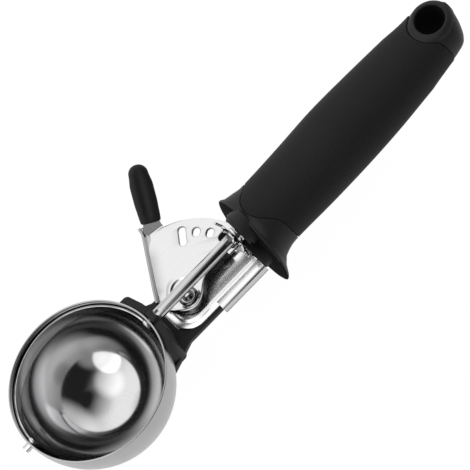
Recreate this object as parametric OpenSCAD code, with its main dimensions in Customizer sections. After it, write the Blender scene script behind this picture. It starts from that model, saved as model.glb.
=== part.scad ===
// Lever ice cream scoop: a round bowl with a sweeping scraper blade, turned by a
// thumb lever through a slotted sector and a star wheel.
// +X runs along the scraper shaft from the bowl to the handle, +Y is the thumb
// lever's side and +Z is up out of the bowl. The origin is the centre of the
// bowl's hemisphere, which lies on the shaft's axis. Millimetres.

/* [Bowl] */
// Outer radius of the bowl
bowl_r = 31.5; // [28:0.5:34]
// Thickness of the bowl's wall
bowl_wall = 0.8; // [0.6:0.1:1.2]
// Height of the straight collar above the hemisphere
collar_h = 3.4; // [1:0.2:6]

/* [Scraper blade] */
// Width of the blade at its middle
blade_w = 7; // [5:0.5:10]
// Width of the blade's round ends
blade_end_w = 5; // [4:0.5:6]
// Thickness of the blade
blade_t = 0.7; // [0.5:0.1:1]
// Gap between the blade and the bowl's inner wall
blade_gap = 0.4; // [0.3:0.05:0.6]
// Angle of the resting blade below the bowl's mouth
blade_rest = 4.5; // [0:0.5:12]
// Radius of the pin that carries the blade's far end
tip_pin_r = 1.6; // [1.2:0.1:2]
// Length of that pin outside the bowl
tip_pin_out = 2.6; // [1.5:0.1:4]
// Running clearance of every turning fit, on the radius
running_fit = 0.06; // [0.02:0.01:0.1]

/* [Scraper shaft] */
// Outer radius of the tubular shaft
shaft_r = 2.3; // [1.9:0.1:2.8]
// Radius of the solid rod inside it
core_r = 1.5; // [1.2:0.1:1.7]
// Radius of the peened heads on the rod and the blade's pin
peen_r = 2; // [1.9:0.1:2.4]
// Thickness of those heads
peen_t = 0.4; // [0.3:0.1:0.8]
// Width of the notch in the tube beside the bowl
notch_w = 1.3; // [0.8:0.1:1.6]
// Length of that notch
notch_l = 1.7; // [1:0.1:3]

/* [Star wheel] */
// Number of teeth
teeth = 9; // [9:1:9]
// Width of a tooth
tooth_w = 1.7; // [1.4:0.1:1.8]
// How far a tooth reaches past the pitch circle
tooth_reach = 1.3; // [1.1:0.1:1.4]
// How far the disc between the teeth stays inside the pitch circle
root_depth = 1.5; // [1.3:0.1:2]
// Thickness of the wheel's sheet
wheel_t = 0.8; // [0.6:0.1:1]
// How far the tooth tips lean towards the bowl
wheel_dish = 1.5; // [1:0.1:1.8]
// Radius of the hub behind the wheel
hub_r = 3.3; // [3:0.1:3.6]
// Length of the hub
hub_l = 1.4; // [1:0.1:1.6]
// Thickness of the thrust washer behind the hub
thrust_t = 0.4; // [0.3:0.1:0.6]

/* [Lever] */
// Distance of the lever's pivot from the bowl's centre
pivot_x = 47.8; // [47:0.2:49]
// Radius of the circle on which the slots lie, about the pivot
sector_r = 25.4; // [25.4:0.1:25.8]
// Angle between two slots
slot_pitch = 12.5; // [12.4:0.1:12.6]
// Width of a slot
slot_w = 3; // [2.9:0.1:3.1]
// Length of a slot along the sector's radius
slot_l = 3.8; // [3.7:0.1:4]
// Radius of the corners at a slot's outer end
slot_corner_r = 0.9; // [0.6:0.1:1]
// Length of the last, long slot
long_slot_l = 6.3; // [5:0.1:7]
// Radius of the sector's curved edge
sector_edge_r = 31.5; // [30.5:0.1:31.8]
// Thickness of the lever's sheet
lever_t = 1; // [0.8:0.1:1.2]
// Height of the turned-up flanges above the sheet
flange_h = 2.9; // [2:0.1:3.4]
// Radius of the hub round the pivot
lever_hub_r = 5.2; // [4.8:0.1:5.6]
// Lever travel
lever_travel = 35; // [30:1:35]
// Angle by which the thumb tab is folded up
tab_rise = 46; // [40:1:50]
// Width of the thumb tab inside the pad
tab_w = 5; // [4:0.5:5.5]

/* [Thumb pad] */
// Length of the pad
pad_l = 22.9; // [20:0.1:24]
// Width of the pad
pad_w = 8.9; // [7.5:0.1:9.4]
// Thickness of the pad
pad_t = 4; // [3:0.1:4.4]

/* [Pivot] */
// Radius of the pivot post
post_r = 2.5; // [2:0.1:2.8]
// Radius of its domed head
post_head_r = 3.9; // [3.4:0.1:4.2]
// Height of that dome
post_head_h = 1.6; // [1:0.1:2]
// Radius of the washer under the head
washer_r = 4.5; // [4.2:0.1:5]
// Thickness of the washer
washer_t = 0.4; // [0.3:0.1:0.6]
// Clearance between flat faces that slide on each other
face_gap = 0.1; // [0.05:0.05:0.2]
// Diameter of the return spring's wire
wire_d = 0.5; // [0.4:0.05:0.5]
// Radius of the spring's bend round the pivot
coil_r = 4.2; // [4:0.1:4.3]
// Distance of the lever's stop lug from the pivot
stop_r = 8.5; // [8:0.1:9]
// Radius of the stop pins and of the lug
stop_pin_r = 0.9; // [0.7:0.1:1]

/* [Frame and neck] */
// Thickness of the frame's sheet
frame_t = 1.2; // [1:0.1:1.5]
// Clearance between the star wheel's teeth and the frame
frame_gap = 0.36; // [0.3:0.02:0.6]
// Half width of the frame's top
frame_half_w = 10.3; // [9.6:0.1:10.6]
// Where the frame's round front end starts
frame_x0 = 36.6; // [36:0.2:38]
// Where the frame's side flanges start
flange_x0 = 53.4; // [50:0.2:56]
// How far the side flanges hang below the frame's top
side_flange_h = 4.3; // [3:0.1:5]
// Height of the frame's raised panel
panel_h = 0.35; // [0.2:0.05:0.5]
// Width of the border round the panel
panel_border = 2.6; // [2:0.1:3]
// Half width of the moulded neck
neck_half_w = 11.5; // [11:0.1:12]
// Depth of the neck below the frame
neck_depth = 6.6; // [6:0.1:8]

/* [Saddle] */
// Half width of the saddle that hugs the bowl
saddle_half_w = 14.2; // [13:0.1:15]
// Back face of the saddle
saddle_x1 = 34.6; // [34.2:0.1:35.2]
// Height of the saddle's top above the shaft's axis
saddle_top = 1.8; // [1:0.1:2.8]

/* [Handle] */
// Length of the handle behind its nose
handle_l = 114.7; // [110:0.1:118]
// Greatest half width of the handle
grip_w = 14.7; // [14.5:0.1:15]
// Radius of the boss that carries the shaft's rear end
boss_r = 6.5; // [6:0.1:6.6]
// Thickness of the rubber sleeve
sleeve_t = 2.6; // [2:0.1:3]
// Width of the parting line between the sleeve and the hard parts
parting = 0.2; // [0.1:0.05:0.3]
// Radius of the hanging hole
hang_r = 5.9; // [5:0.1:6]

/* [Tang] */
// Width of the steel tang
tang_w = 9; // [8:0.5:10]
// Thickness of the tang
tang_t = 2.6; // [2:0.1:3]
// Length of the tang inside the handle
tang_l = 48.5; // [44:0.5:54]
// Radius of the pins through the tang
tang_pin_r = 0.7; // [0.5:0.1:1]

/* [Hidden] */
$fn = 64;

bowl_in_r = bowl_r - bowl_wall;
blade_r1 = bowl_in_r - blade_gap;
blade_r0 = blade_r1 - blade_t;

// The sector's slots and the wheel's teeth share one pitch length
pitch_r = sector_r * slot_pitch * teeth / 360;
tip_r = pitch_r + tooth_reach;
root_r = pitch_r - root_depth;
wheel_x = pivot_x + sector_r + wheel_dish - 0.3;
wheel_x1 = wheel_x + wheel_t;
hub_x1 = wheel_x1 + hub_l;
thrust_x1 = hub_x1 + thrust_t;
boss_x = thrust_x1 + 0.3;
nose_x = boss_x - 1.8;
rear_bush_l = 5;
peen_x = sqrt(blade_r0 * blade_r0 - peen_r * peen_r);
rear_bush_x1 = boss_x + rear_bush_l;
core_x1 = rear_bush_x1 - 0.4;
bush_wall = 1.3;

// Heights of the lever, measured from the shaft's axis
lever_top = -pitch_r + lever_t / 2;
lever_bottom = lever_top - lever_t;
frame_top = -(tip_r + frame_gap);
frame_bottom = frame_top - frame_t;
tang_bottom = frame_bottom - tang_t;
neck_bottom = frame_bottom - neck_depth;

// Lever outline, measured from the pivot
tail = [-10.4, 7.2];
fold_left = [3.9, 31.8];
fold_right = [12.3, 30.3];
right_edge_y = 0.3;
flange_end_x = sector_r - slot_l;
edge_dir = atan2(fold_left[1] - tail[1], fold_left[0] - tail[0]);
fold_dir = atan2(fold_right[1] - fold_left[1], fold_right[0] - fold_left[0]);
fold_mid = (fold_left + fold_right) / 2;
fold_w = norm(fold_right - fold_left);
pad_lean = 22.8;
pad_start = 4.25;
pad_side = -0.2;
pad_base_w = 0.88 * pad_w;

// Stops: a lug under the lever between two pins in the frame
stop_angle = 95;
stop_clear = 0.3;
stop_swing = 2 * asin((stop_pin_r + stop_clear / 2) / stop_r);
stop_places = [stop_angle + stop_swing, stop_angle - lever_travel - stop_swing];

frame_x1 = nose_x - 0.2;
side_flange_t = 1;
side_half_w = neck_half_w + 0.1 + side_flange_t;
bend_r = 1.3;
frame_nose_r = 8.8;
rivet_x = 66;
rivet_r = 1.8;
post_base_r = 4;
post_base_t = 1.2;

slit_r = sector_edge_r + 0.8;
slit_gap = 0.65;

handle_x1 = nose_x + handle_l;
tang_x1 = nose_x + tang_l;

// Handle sections: place behind the nose as a part of the handle's length, then half
// width, half height and centre height as parts of the greatest half width
sections = [
    [0.048, 1.122, 1.041, -0.612],
    [0.0636, 1.048, 0.973, -0.51],
    [0.0802, 1.007, 0.939, -0.469],
    [0.1116, 0.959, 0.891, -0.449],
    [0.1526, 0.952, 0.878, -0.435],
    [0.3008, 0.98, 0.898, -0.408],
    [0.4577, 1, 0.918, -0.333],
    [0.6146, 0.966, 0.884, -0.293],
    [0.7803, 0.891, 0.816, -0.224],
    [0.85, 0.823, 0.762, -0.184],
    [0.9024, 0.789, 0.748, -0.129],
    [0.9416, 0.741, 0.701, -0.068],
    [0.959, 0.673, 0.667, -0.041],
    [0.9747, 0.537, 0.605, 0.014],
    [0.9895, 0.34, 0.435, 0.136],
    [1, 0.136, 0.177, 0.327]];
stations = [for (s = sections)
    [nose_x + s[0] * handle_l, s[1] * grip_w, s[2] * grip_w, s[3] * grip_w]];

// Guard sections, from its face back: place behind the nose, half width, half height,
// centre height and how far the section leans back per millimetre of height
guard_rings = [
    [2.05, 18.4, 17.3, -12.2, 0.15],
    [2.4, 19.1, 18, -12.2, 0.15],
    [3.3, 18.7, 17.5, -11.75, 0.14],
    [4.4, 17.5, 16.3, -10.4, 0.12],
    [sections[0][0] * handle_l, stations[0][1], stations[0][2], stations[0][3], 0.1]];
guard_low = -21.9;

sides = 64;
lobe_x = nose_x + 8.8;
seam_x = nose_x + 16;
seam_half_w = 12.6;
front_x1 = nose_x + 24.5;
hang_x = handle_x1 - 8.7;
hang_top = 8.3;
collar_r = hang_r + 2.85;
cap_lobe_r = collar_r + 0.25;
cap_x = hang_x - 2.5;
core_x2 = hang_x - 13.5;
core_inset = 0.08;
pin_places = [nose_x + 22.5, nose_x + 40.5];
pin_half_l = 9;

// A closed skin over rings of points that all have the same count
module skin(rings) {
    n = len(rings[0]);
    m = len(rings);
    points = [for (ring = rings) for (p = ring) p];
    walls = [for (i = [0:m - 2]) for (j = [0:n - 1]) let (k = (j + 1) % n)
        each [[i * n + j, (i + 1) * n + k, i * n + k], [i * n + j, (i + 1) * n + j, (i + 1) * n + k]]];
    start = [[for (j = [0:n - 1]) j]];
    end = [[for (j = [0:n - 1]) m * n - 1 - j]];
    polyhedron(points, concat(walls, start, end), convexity = 8);
}

function span(x, k = 0) = x <= stations[k + 1][0] || k == len(stations) - 2 ? k : span(x, k + 1);
function curve(p, q, r, s, f) = q + 0.5 * f * (r - p + f * (2 * p - 5 * q + 4 * r - s
    + f * (3 * (q - r) + s - p)));
function station_at(x) = let (k = span(x), a = stations[k], b = stations[k + 1],
    f = (x - a[0]) / (b[0] - a[0]),
    before = stations[max(k - 1, 0)], after = stations[min(k + 2, len(stations) - 1)])
    curve(before, a, b, after, f);

// A cylinder along +X
module rod(r, x0, x1) {
    translate([x0, 0, 0]) rotate([0, 90, 0]) cylinder(r = r, h = x1 - x0);
}

module ring_rod(r, hole_r, x0, x1) {
    difference() {
        rod(r, x0, x1);
        rod(hole_r, x0 - 1, x1 + 1);
    }
}

// The solid cup of radius r, with its straight collar up to height h
module cup(r, h) {
    intersection() {
        sphere(r = r, $fn = 96);
        translate([-r - 1, -r - 1, -r - 1]) cube([2 * r + 2, 2 * r + 2, r + 1]);
    }
    cylinder(r = r, h = h, $fn = 96);
}

module bowl() {
    color([0.72, 0.72, 0.73]) difference() {
        union() {
            difference() {
                cup(bowl_r, collar_h);
                cup(bowl_in_r, collar_h + 1);
            }
            translate([0, 0, collar_h]) rotate_extrude($fn = 96)
                translate([bowl_r - bowl_wall / 2, 0]) circle(d = bowl_wall, $fn = 24);
        }
        rod(tip_pin_r + running_fit, -bowl_r - 2, 0);
        rod(shaft_r + running_fit, 0, bowl_r + 2);
    }
}

// Sheet steel patch that is welded between the bowl and the tang
cradle_t = 1;
cradle_half_w = 8;
module cradle_outline() {
    translate([bowl_r / 2, -cradle_half_w, neck_bottom + 1.4])
        cube([bowl_r, 2 * cradle_half_w, -neck_bottom - 1.4 - shaft_r - bush_wall - 1.2]);
}

module bowl_cradle() {
    color([0.6, 0.6, 0.62]) intersection() {
        difference() {
            sphere(r = bowl_r + cradle_t, $fn = 96);
            sphere(r = bowl_r, $fn = 96);
        }
        cradle_outline();
    }
}

// The blade is half a band of a sphere. Two wide arcs taper it towards its round ends
module scraper_blade() {
    half_w = blade_w / 2;
    taper = half_w - blade_end_w / 2 + 0.6;
    side_r = (blade_r1 * blade_r1 + taper * taper) / (2 * taper);
    color([0.8, 0.8, 0.81]) rotate([-blade_rest, 0, 0]) difference() {
        union() {
            intersection() {
                rotate_extrude(angle = 180, $fn = 128) intersection() {
                    difference() {
                        circle(r = blade_r1, $fn = 200);
                        circle(r = blade_r0, $fn = 200);
                    }
                    translate([0, -half_w - 1]) square([bowl_r, blade_w + 2]);
                }
                translate([0, 0, side_r - half_w]) rotate([-90, 0, 0])
                    cylinder(r = side_r, h = bowl_r, $fn = 900);
                translate([0, 0, half_w - side_r]) rotate([-90, 0, 0])
                    cylinder(r = side_r, h = bowl_r, $fn = 900);
            }
            rod(blade_end_w / 2, -blade_r1 + 0.05, -peen_x);
            rod(blade_end_w / 2, peen_x, blade_r1 - 0.05);
        }
        rod(tip_pin_r, -bowl_r, 0);
        rod(core_r, 0, bowl_r);
    }
}

// Stub pin: a peened head inside the blade and a split end outside the bowl
module blade_tip_pin() {
    tip_x = -bowl_r - tip_pin_out;
    color([0.75, 0.75, 0.76]) difference() {
        union() {
            rod(tip_pin_r, tip_x, peen_t - peen_x);
            rod(peen_r, -peen_x, peen_t - peen_x);
        }
        translate([tip_x - 1, -bowl_r, -0.25]) cube([1 + tip_pin_out * 0.7, 2 * bowl_r, 0.5]);
    }
}

module scraper_shaft() {
    color([0.78, 0.78, 0.8]) difference() {
        ring_rod(shaft_r, core_r, blade_r1, wheel_x);
        translate([saddle_x1 + 0.2, -notch_w / 2, 0]) cube([notch_l, notch_w, shaft_r + 1]);
    }
}

module shaft_core() {
    color([0.6, 0.6, 0.62]) {
        rod(core_r, peen_x - peen_t, core_x1);
        rod(peen_r, peen_x - peen_t, peen_x);
    }
}

module star_outline() {
    circle(r = root_r);
    for (i = [0:teeth - 1]) rotate(i * 360 / teeth + 180 / teeth) {
        translate([0, -tooth_w / 2]) square([tip_r - tooth_w / 2, tooth_w]);
        translate([tip_r - tooth_w / 2, 0]) circle(d = tooth_w, $fn = 24);
    }
}

// Dished sheet wheel. The outline turns so that two teeth straddle its lowest point
module star_wheel() {
    flat_r = root_r - 0.5;
    color([0.75, 0.75, 0.77]) translate([wheel_x, 0, 0]) rotate([0, 90, 0]) intersection() {
        rotate_extrude() polygon([[core_r, 0], [flat_r, 0], [tip_r + 1, -wheel_dish],
            [tip_r + 1, wheel_t - wheel_dish], [flat_r, wheel_t], [core_r, wheel_t]]);
        translate([0, 0, -wheel_dish - 1]) linear_extrude(wheel_dish + wheel_t + 2) star_outline();
    }
}

module wheel_hub() {
    color([0.8, 0.8, 0.8]) ring_rod(hub_r, core_r, wheel_x1, hub_x1);
}

module thrust_washer() {
    color([0.85, 0.85, 0.85]) ring_rod(hub_r - 0.4, core_r, hub_x1, thrust_x1);
}

front_bush_x0 = bowl_r + 0.4;
front_bush_r = shaft_r + bush_wall;
module front_bush() {
    color([0.1, 0.1, 0.1]) intersection() {
        ring_rod(front_bush_r, shaft_r + running_fit, front_bush_x0, saddle_x1);
        translate([0, -front_bush_r - 1, saddle_top - 2 * front_bush_r])
            cube([saddle_x1 + 1, 2 * front_bush_r + 2, 2 * front_bush_r]);
    }
}

rear_bush_r = core_r + bush_wall;
module rear_bush() {
    color([0.9, 0.9, 0.88]) ring_rod(rear_bush_r, core_r + running_fit, boss_x, rear_bush_x1);
}

// Plan outline of the frame's top, shrunk by inset
module frame_plan(inset = 0) {
    r = frame_nose_r - inset;
    w = frame_half_w - inset;
    for (side = [-1, 1]) translate([frame_x0 + inset + r, side * (w - r)]) circle(r = r);
    translate([frame_x0 + inset, -(w - r)]) square([r, 2 * (w - r)]);
    translate([frame_x0 + inset + r, -w]) square([frame_x1 - frame_x0 - inset - r, 2 * w]);
}

// Cross-section of the turned-down side flanges, with round bends
module flange_section() {
    difference() {
        union() {
            translate([-side_half_w + bend_r, -frame_t - panel_h])
                square([2 * (side_half_w - bend_r), frame_t]);
            for (side = [-1, 1]) {
                translate([side * (side_half_w - bend_r), -bend_r - panel_h]) circle(r = bend_r);
                translate([side * (side_half_w - side_flange_t / 2) - side_flange_t / 2,
                    -side_flange_h]) square([side_flange_t, side_flange_h - bend_r - panel_h]);
            }
        }
        translate([-side_half_w + side_flange_t, -side_flange_h - 1])
            square([2 * (side_half_w - side_flange_t), side_flange_h + 1 - frame_t]);
    }
}

module frame_plate() {
    flange_l = frame_x1 - flange_x0;
    color([0.82, 0.82, 0.84]) difference() {
        union() {
            translate([0, 0, frame_bottom]) linear_extrude(frame_t - panel_h) frame_plan();
            translate([0, 0, frame_bottom]) linear_extrude(frame_t) frame_plan(panel_border);
            intersection() {
                translate([flange_x0, 0, frame_top]) rotate([90, 0, 90])
                    linear_extrude(flange_l) flange_section();
                translate([flange_x0, 0, frame_top - side_flange_h]) linear_extrude(side_flange_h)
                    translate([0, -side_half_w]) square([flange_l, 2 * side_half_w]);
            }
        }
        translate([pivot_x, 0, frame_bottom - 1]) cylinder(r = post_r, h = frame_t + 2);
        translate([rivet_x, 0, frame_bottom - 1]) cylinder(r = rivet_r, h = frame_t + 2);
        for (a = stop_places)
            translate([pivot_x, 0, frame_bottom - 1]) rotate(a) translate([stop_r, 0])
                cylinder(r = stop_pin_r, h = frame_t + 2);
    }
}

module frame_rivet() {
    color([0.7, 0.7, 0.72]) translate([rivet_x, 0, tang_bottom])
        cylinder(r = rivet_r, h = frame_top - tang_bottom);
}

washer_z = lever_top + face_gap;
module pivot_post() {
    head_z = washer_z + washer_t;
    dome_r = (post_head_r * post_head_r + post_head_h * post_head_h) / (2 * post_head_h);
    color([0.85, 0.85, 0.86]) translate([pivot_x, 0, 0]) {
        translate([0, 0, neck_bottom]) cylinder(r = post_base_r, h = post_base_t);
        translate([0, 0, neck_bottom + post_base_t / 2])
            cylinder(r = post_r, h = head_z + post_head_h / 4 - neck_bottom - post_base_t / 2);
        intersection() {
            translate([0, 0, head_z + post_head_h - dome_r]) sphere(r = dome_r);
            translate([0, 0, head_z]) cylinder(r = post_head_r + 1, h = post_head_h + 1);
        }
    }
}

module pivot_washer() {
    color([0.9, 0.9, 0.9]) translate([pivot_x, 0, washer_z]) difference() {
        cylinder(r = washer_r, h = washer_t);
        translate([0, 0, -1]) cylinder(r = post_r, h = washer_t + 2);
    }
}

module pivot_spacer() {
    h = lever_bottom - face_gap - frame_top;
    color([0.8, 0.7, 0.45]) translate([pivot_x, 0, frame_top]) difference() {
        cylinder(r = post_r + 0.8, h = h);
        translate([0, 0, -1]) cylinder(r = post_r, h = h + 2);
    }
}

// Path of the hairpin spring: a leg along a stop pin, a bend round the pivot and a
// shorter leg that ends inside the stop lug's path
spring_bend = 210;
spring_legs = [8.4, 5.6];
spring_z = frame_top + wire_d / 2 + 0.02;
bend_steps = 21;
function bend_point(a) = coil_r * [cos(a), sin(a)];
spring_end = bend_point(spring_bend) + spring_legs[1] * [-sin(spring_bend), cos(spring_bend)];
spring_path = concat([[coil_r, -spring_legs[0]], [coil_r, -0.2]],
    [for (i = [1:bend_steps - 1]) bend_point(spring_bend * i / bend_steps)],
    [bend_point(spring_bend), spring_end]);
// The long leg lies against the first stop pin
spring_turn = stop_places[0] + acos((coil_r - stop_pin_r - wire_d / 2 - 0.02) / stop_r);

function unit(v) = v / norm(v);
function path_dir(path, i) = unit(path[min(i + 1, len(path) - 1)] - path[max(i - 1, 0)]);
function tube_ring(path, i, r, n) = let (d = path_dir(path, i))
    [for (j = [0:n - 1]) [path[i][0] + r * cos(360 * j / n) * d[1],
        path[i][1] - r * cos(360 * j / n) * d[0], r * sin(360 * j / n)]];

module return_spring() {
    color([0.65, 0.65, 0.67]) translate([pivot_x, 0, spring_z]) rotate(spring_turn)
        skin([for (i = [0:len(spring_path) - 1]) tube_ring(spring_path, i, wire_d / 2, 8)]);
}

module lever_stops() {
    color([0.7, 0.7, 0.72])
    for (a = stop_places)
        translate([pivot_x, 0, frame_bottom]) rotate(a) translate([stop_r, 0])
            cylinder(r = stop_pin_r, h = lever_bottom - 0.3 - frame_bottom);
}

// Flat outline of the lever's sheet, measured from the pivot
module lever_outline() {
    circle(r = lever_hub_r);
    intersection() {
        circle(r = sector_edge_r, $fn = 128);
        polygon([[0, right_edge_y], [sector_edge_r + 1, right_edge_y],
            [sector_edge_r + 1, fold_right[1]], fold_right, fold_left, tail, [-8.2, 1.5]]);
    }
    polygon([tail, [-8.2, 1.5], [-4.4, -2.8], [0, -lever_hub_r], [lever_hub_r, 0],
        [lever_hub_r, right_edge_y + 2]]);
    polygon([[0, 1], fold_right * 0.9, fold_right, fold_left, fold_left * 0.9]);
}

module slots() {
    for (i = [0:4]) rotate((i + 0.5) * slot_pitch) {
        l = i == 4 ? long_slot_l : slot_l;
        side = slot_w / 2 - slot_corner_r;
        translate([sector_r - l / 2, -slot_w / 2]) square([l - slot_corner_r, slot_w]);
        translate([sector_r, -side]) square([l / 2, 2 * side]);
        for (y = [-side, side]) translate([sector_r + l / 2 - slot_corner_r, y])
            circle(r = slot_corner_r, $fn = 32);
    }
}

// A turned-up edge: runs from a to b and stands on the inner side of that line
module edge_flange(from, to, inward) {
    l = norm(to - from);
    translate([from[0], from[1], 0]) rotate(atan2(to[1] - from[1], to[0] - from[0]))
        translate([0, inward > 0 ? 0 : -lever_t, -lever_t]) cube([l, lever_t, lever_t + flange_h]);
}

// The folded tab's own frame: X along the fold, Y up the tab, Z out of its face. It
// starts a little inside the sheet, so that the two overlap
tab_sink = 0.12;
module on_tab() {
    translate([fold_mid[0], fold_mid[1], 0]) rotate(fold_dir)
        translate([0, -tab_sink, tab_sink / 2 - lever_t]) rotate([tab_rise, 0, 0]) children();
}

// A place measured along and across the leaning pad, in the tab's frame
function in_pad(x, y) = [(x + pad_side) * cos(pad_lean) + y * sin(pad_lean),
    y * cos(pad_lean) - (x + pad_side) * sin(pad_lean)];

module thumb_tab() {
    shoulder = pad_base_w / 2 - 0.8;
    end_y = pad_start + pad_l - 4;
    root = fold_w / 2 - tab_sink;
    on_tab() linear_extrude(lever_t) polygon([[-root, 0], [root, 0],
        in_pad(shoulder, pad_start + 0.8), in_pad(tab_w / 2, pad_start + 2.5), in_pad(tab_w / 2, end_y),
        in_pad(-tab_w / 2, end_y), in_pad(-tab_w / 2, pad_start + 2.5), in_pad(-shoulder, pad_start + 0.8)]);
}

module lever_plate() {
    color([0.85, 0.85, 0.87]) translate([pivot_x, 0, lever_top]) difference() {
        union() {
            translate([0, 0, -lever_t]) linear_extrude(lever_t) lever_outline();
            edge_flange([lever_hub_r + 0.6, right_edge_y], [flange_end_x, right_edge_y], 1);
            edge_flange(tail, fold_left - 1.5 * [cos(edge_dir), sin(edge_dir)], -1);
            thumb_tab();
            rotate(stop_angle) translate([stop_r, 0, -lever_t - 0.85])
                cylinder(r = stop_pin_r, h = 0.85 + lever_t / 2);
        }
        translate([0, 0, -lever_t - 1]) cylinder(r = post_r + running_fit, h = lever_t + 2);
        translate([0, 0, -lever_t - 1]) linear_extrude(lever_t + 2) slots();
    }
}

// Soft cap over the thumb tab, with a round tip
module pad_body() {
    edge = pad_t / 2;
    tip_r = pad_w * 0.42 - edge;
    tip_y = pad_start + pad_l - tip_r - edge;
    on_tab() rotate(-pad_lean) translate([pad_side, 0, lever_t / 2]) hull() {
        for (side = [-1, 1]) {
            translate([side * (pad_base_w / 2 - edge), pad_start + edge, 0]) sphere(r = edge, $fn = 24);
            for (f = [0.35, 0.62])
                translate([side * (pad_w / 2 - edge), pad_start + pad_l * f, 0]) sphere(r = edge, $fn = 24);
        }
        for (a = [0:30:180])
            translate([tip_r * cos(a), tip_y + tip_r * sin(a), 0]) sphere(r = edge, $fn = 24);
    }
}

module thumb_pad() {
    color([0.13, 0.13, 0.13]) translate([pivot_x, 0, lever_top]) difference() {
        pad_body();
        thumb_tab();
    }
}

// Half oval across X whose flat top lies at height top
function neck_ring(x, half_w, top, depth, n = 16) = [for (j = [0:n])
    let (t = 180 + 180 * j / n, c = cos(t), s = sin(t))
    [x, half_w * sign(c) * pow(abs(c), 0.8), top - depth * pow(abs(s), 0.8)]];

module saddle_block() {
    back_r = 2.2;
    translate([0, 0, frame_top - 3]) linear_extrude(saddle_top - frame_top + 3) {
        polygon([[bowl_r * 0.7, -saddle_half_w], [saddle_x1 - 4.5, -saddle_half_w],
            [saddle_x1 - 2, -saddle_half_w + 2], [saddle_x1 - 0.5, -saddle_half_w * 0.5],
            [saddle_x1, -saddle_half_w * 0.25], [saddle_x1, saddle_half_w * 0.25],
            [saddle_x1 - 0.5, saddle_half_w * 0.5], [saddle_x1 - 2, saddle_half_w - 2],
            [saddle_x1 - 4.5, saddle_half_w], [bowl_r * 0.7, saddle_half_w]]);
        for (side = [-1, 1]) translate([saddle_x1 - 2 - back_r, side * (saddle_half_w - back_r)])
            circle(r = back_r, $fn = 32);
    }
}

// Moulded neck under the frame, widening into the saddle round the bowl
module neck_body() {
    skin([neck_ring(bowl_r * 0.67, saddle_half_w + 2.6, frame_bottom + 2, neck_depth + 6),
        neck_ring(saddle_x1 - 4.6, saddle_half_w, frame_bottom + 1, neck_depth + 1.6),
        neck_ring(frame_x0 - 0.2, neck_half_w, frame_bottom, neck_depth),
        neck_ring(nose_x, neck_half_w, frame_bottom, neck_depth)]);
}

module saddle_neck() {
    color([0.2, 0.2, 0.2]) difference() {
        union() {
            saddle_block();
            neck_body();
        }
        cup(bowl_r, saddle_top + 20);
        intersection() {
            sphere(r = bowl_r + cradle_t, $fn = 96);
            cradle_outline();
        }
        rod(front_bush_r, bowl_r / 2, saddle_x1 + 1);
        translate([0, -tang_w / 2, tang_bottom]) cube([nose_x + 1, tang_w, tang_t]);
        translate([pivot_x, 0, neck_bottom - 1]) cylinder(r = post_base_r, h = post_base_t + 1);
        translate([pivot_x, 0, neck_bottom]) cylinder(r = post_r, h = neck_depth + 1);
    }
}

module tang() {
    color([0.6, 0.6, 0.62]) difference() {
        translate([bowl_r * 0.7, -tang_w / 2, tang_bottom])
            cube([tang_x1 - bowl_r * 0.7, tang_w, tang_t]);
        sphere(r = bowl_r + cradle_t, $fn = 96);
        translate([pivot_x, 0, tang_bottom - 1]) cylinder(r = post_r, h = tang_t + 2);
        translate([rivet_x, 0, tang_bottom - 1]) cylinder(r = rivet_r, h = tang_t + 2);
        tang_pin_bores();
    }
}

module tang_pin_bores() {
    for (x = pin_places) translate([x, pin_half_l, tang_bottom + tang_t / 2]) rotate([90, 0, 0])
        cylinder(r = tang_pin_r, h = 2 * pin_half_l);
}

module tang_pins() {
    color([0.6, 0.6, 0.62]) tang_pin_bores();
}

// The front seam runs round the handle, with a round lobe towards the bowl on its top
function front_seam(y) = lobe_x + (seam_x - lobe_x)
    * (0.5 - 0.5 * cos(180 * pow(min(abs(y) / seam_half_w, 1), 1.3)));
// The rear seam follows a circle round the hanging hole and then bends to the sides
arc_y = cap_lobe_r * 0.8;
arc_x = hang_x - sqrt(cap_lobe_r * cap_lobe_r - arc_y * arc_y);
arc_slope = arc_y / (hang_x - arc_x);
function rear_seam(y) = abs(y) < arc_y ? hang_x - sqrt(cap_lobe_r * cap_lobe_r - y * y)
    : cap_x - (cap_x - arc_x) * exp((arc_y - abs(y)) * arc_slope / (cap_x - arc_x));

// One point of the handle's skin at place x and angle t
function squared(c) = sign(c) * pow(abs(c), 2 / 2.15);
function skin_point(x, t, inset = 0) = let (s = station_at(x))
    [x, (s[1] - inset) * squared(cos(t)), s[3] + (s[2] - inset) * squared(sin(t))];
front_w = station_at(seam_x - 3)[1];
rear_w = station_at(cap_x - 3)[1];
function front_x(t, inset) = front_seam(t > 180 ? seam_half_w : (front_w - inset) * squared(cos(t)));
function rear_x(t, inset) = rear_seam((rear_w - inset) * squared(cos(t)));

// Rings that run from place x0 to the front seam, and on from it
angles = [for (j = [0:sides - 1]) 360 * j / sides];
function ring_from_seam(x1, f, inset = 0, gap = 0) = [for (t = angles)
    skin_point(x1 + (front_x(t, inset) + gap - x1) * f, t, inset)];
function ring_to_cap(x0, f, inset = 0, gap = 0) = [for (t = angles)
    skin_point(x0 + (rear_x(t, inset) - gap - x0) * f, t, inset)];
function flat_ring(x, inset = 0) = [for (t = angles) skin_point(x, t, inset)];

// Leaning rings of the guard, and those that carry it over into the front seam
function leaning(p, lean) = [p[0] + lean * (p[2] - guard_low), p[1], p[2]];
function guard_ring(g) = [for (t = angles)
    leaning([nose_x + g[0], g[1] * squared(cos(t)), g[3] + g[2] * squared(sin(t))], g[4])];
function ring_to_seam(f) = let (x0 = stations[0][0]) [for (t = angles)
    leaning(skin_point(x0 + (front_x(t, 0) - x0) * f, t), 0.1 * (1 - f))];

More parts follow.
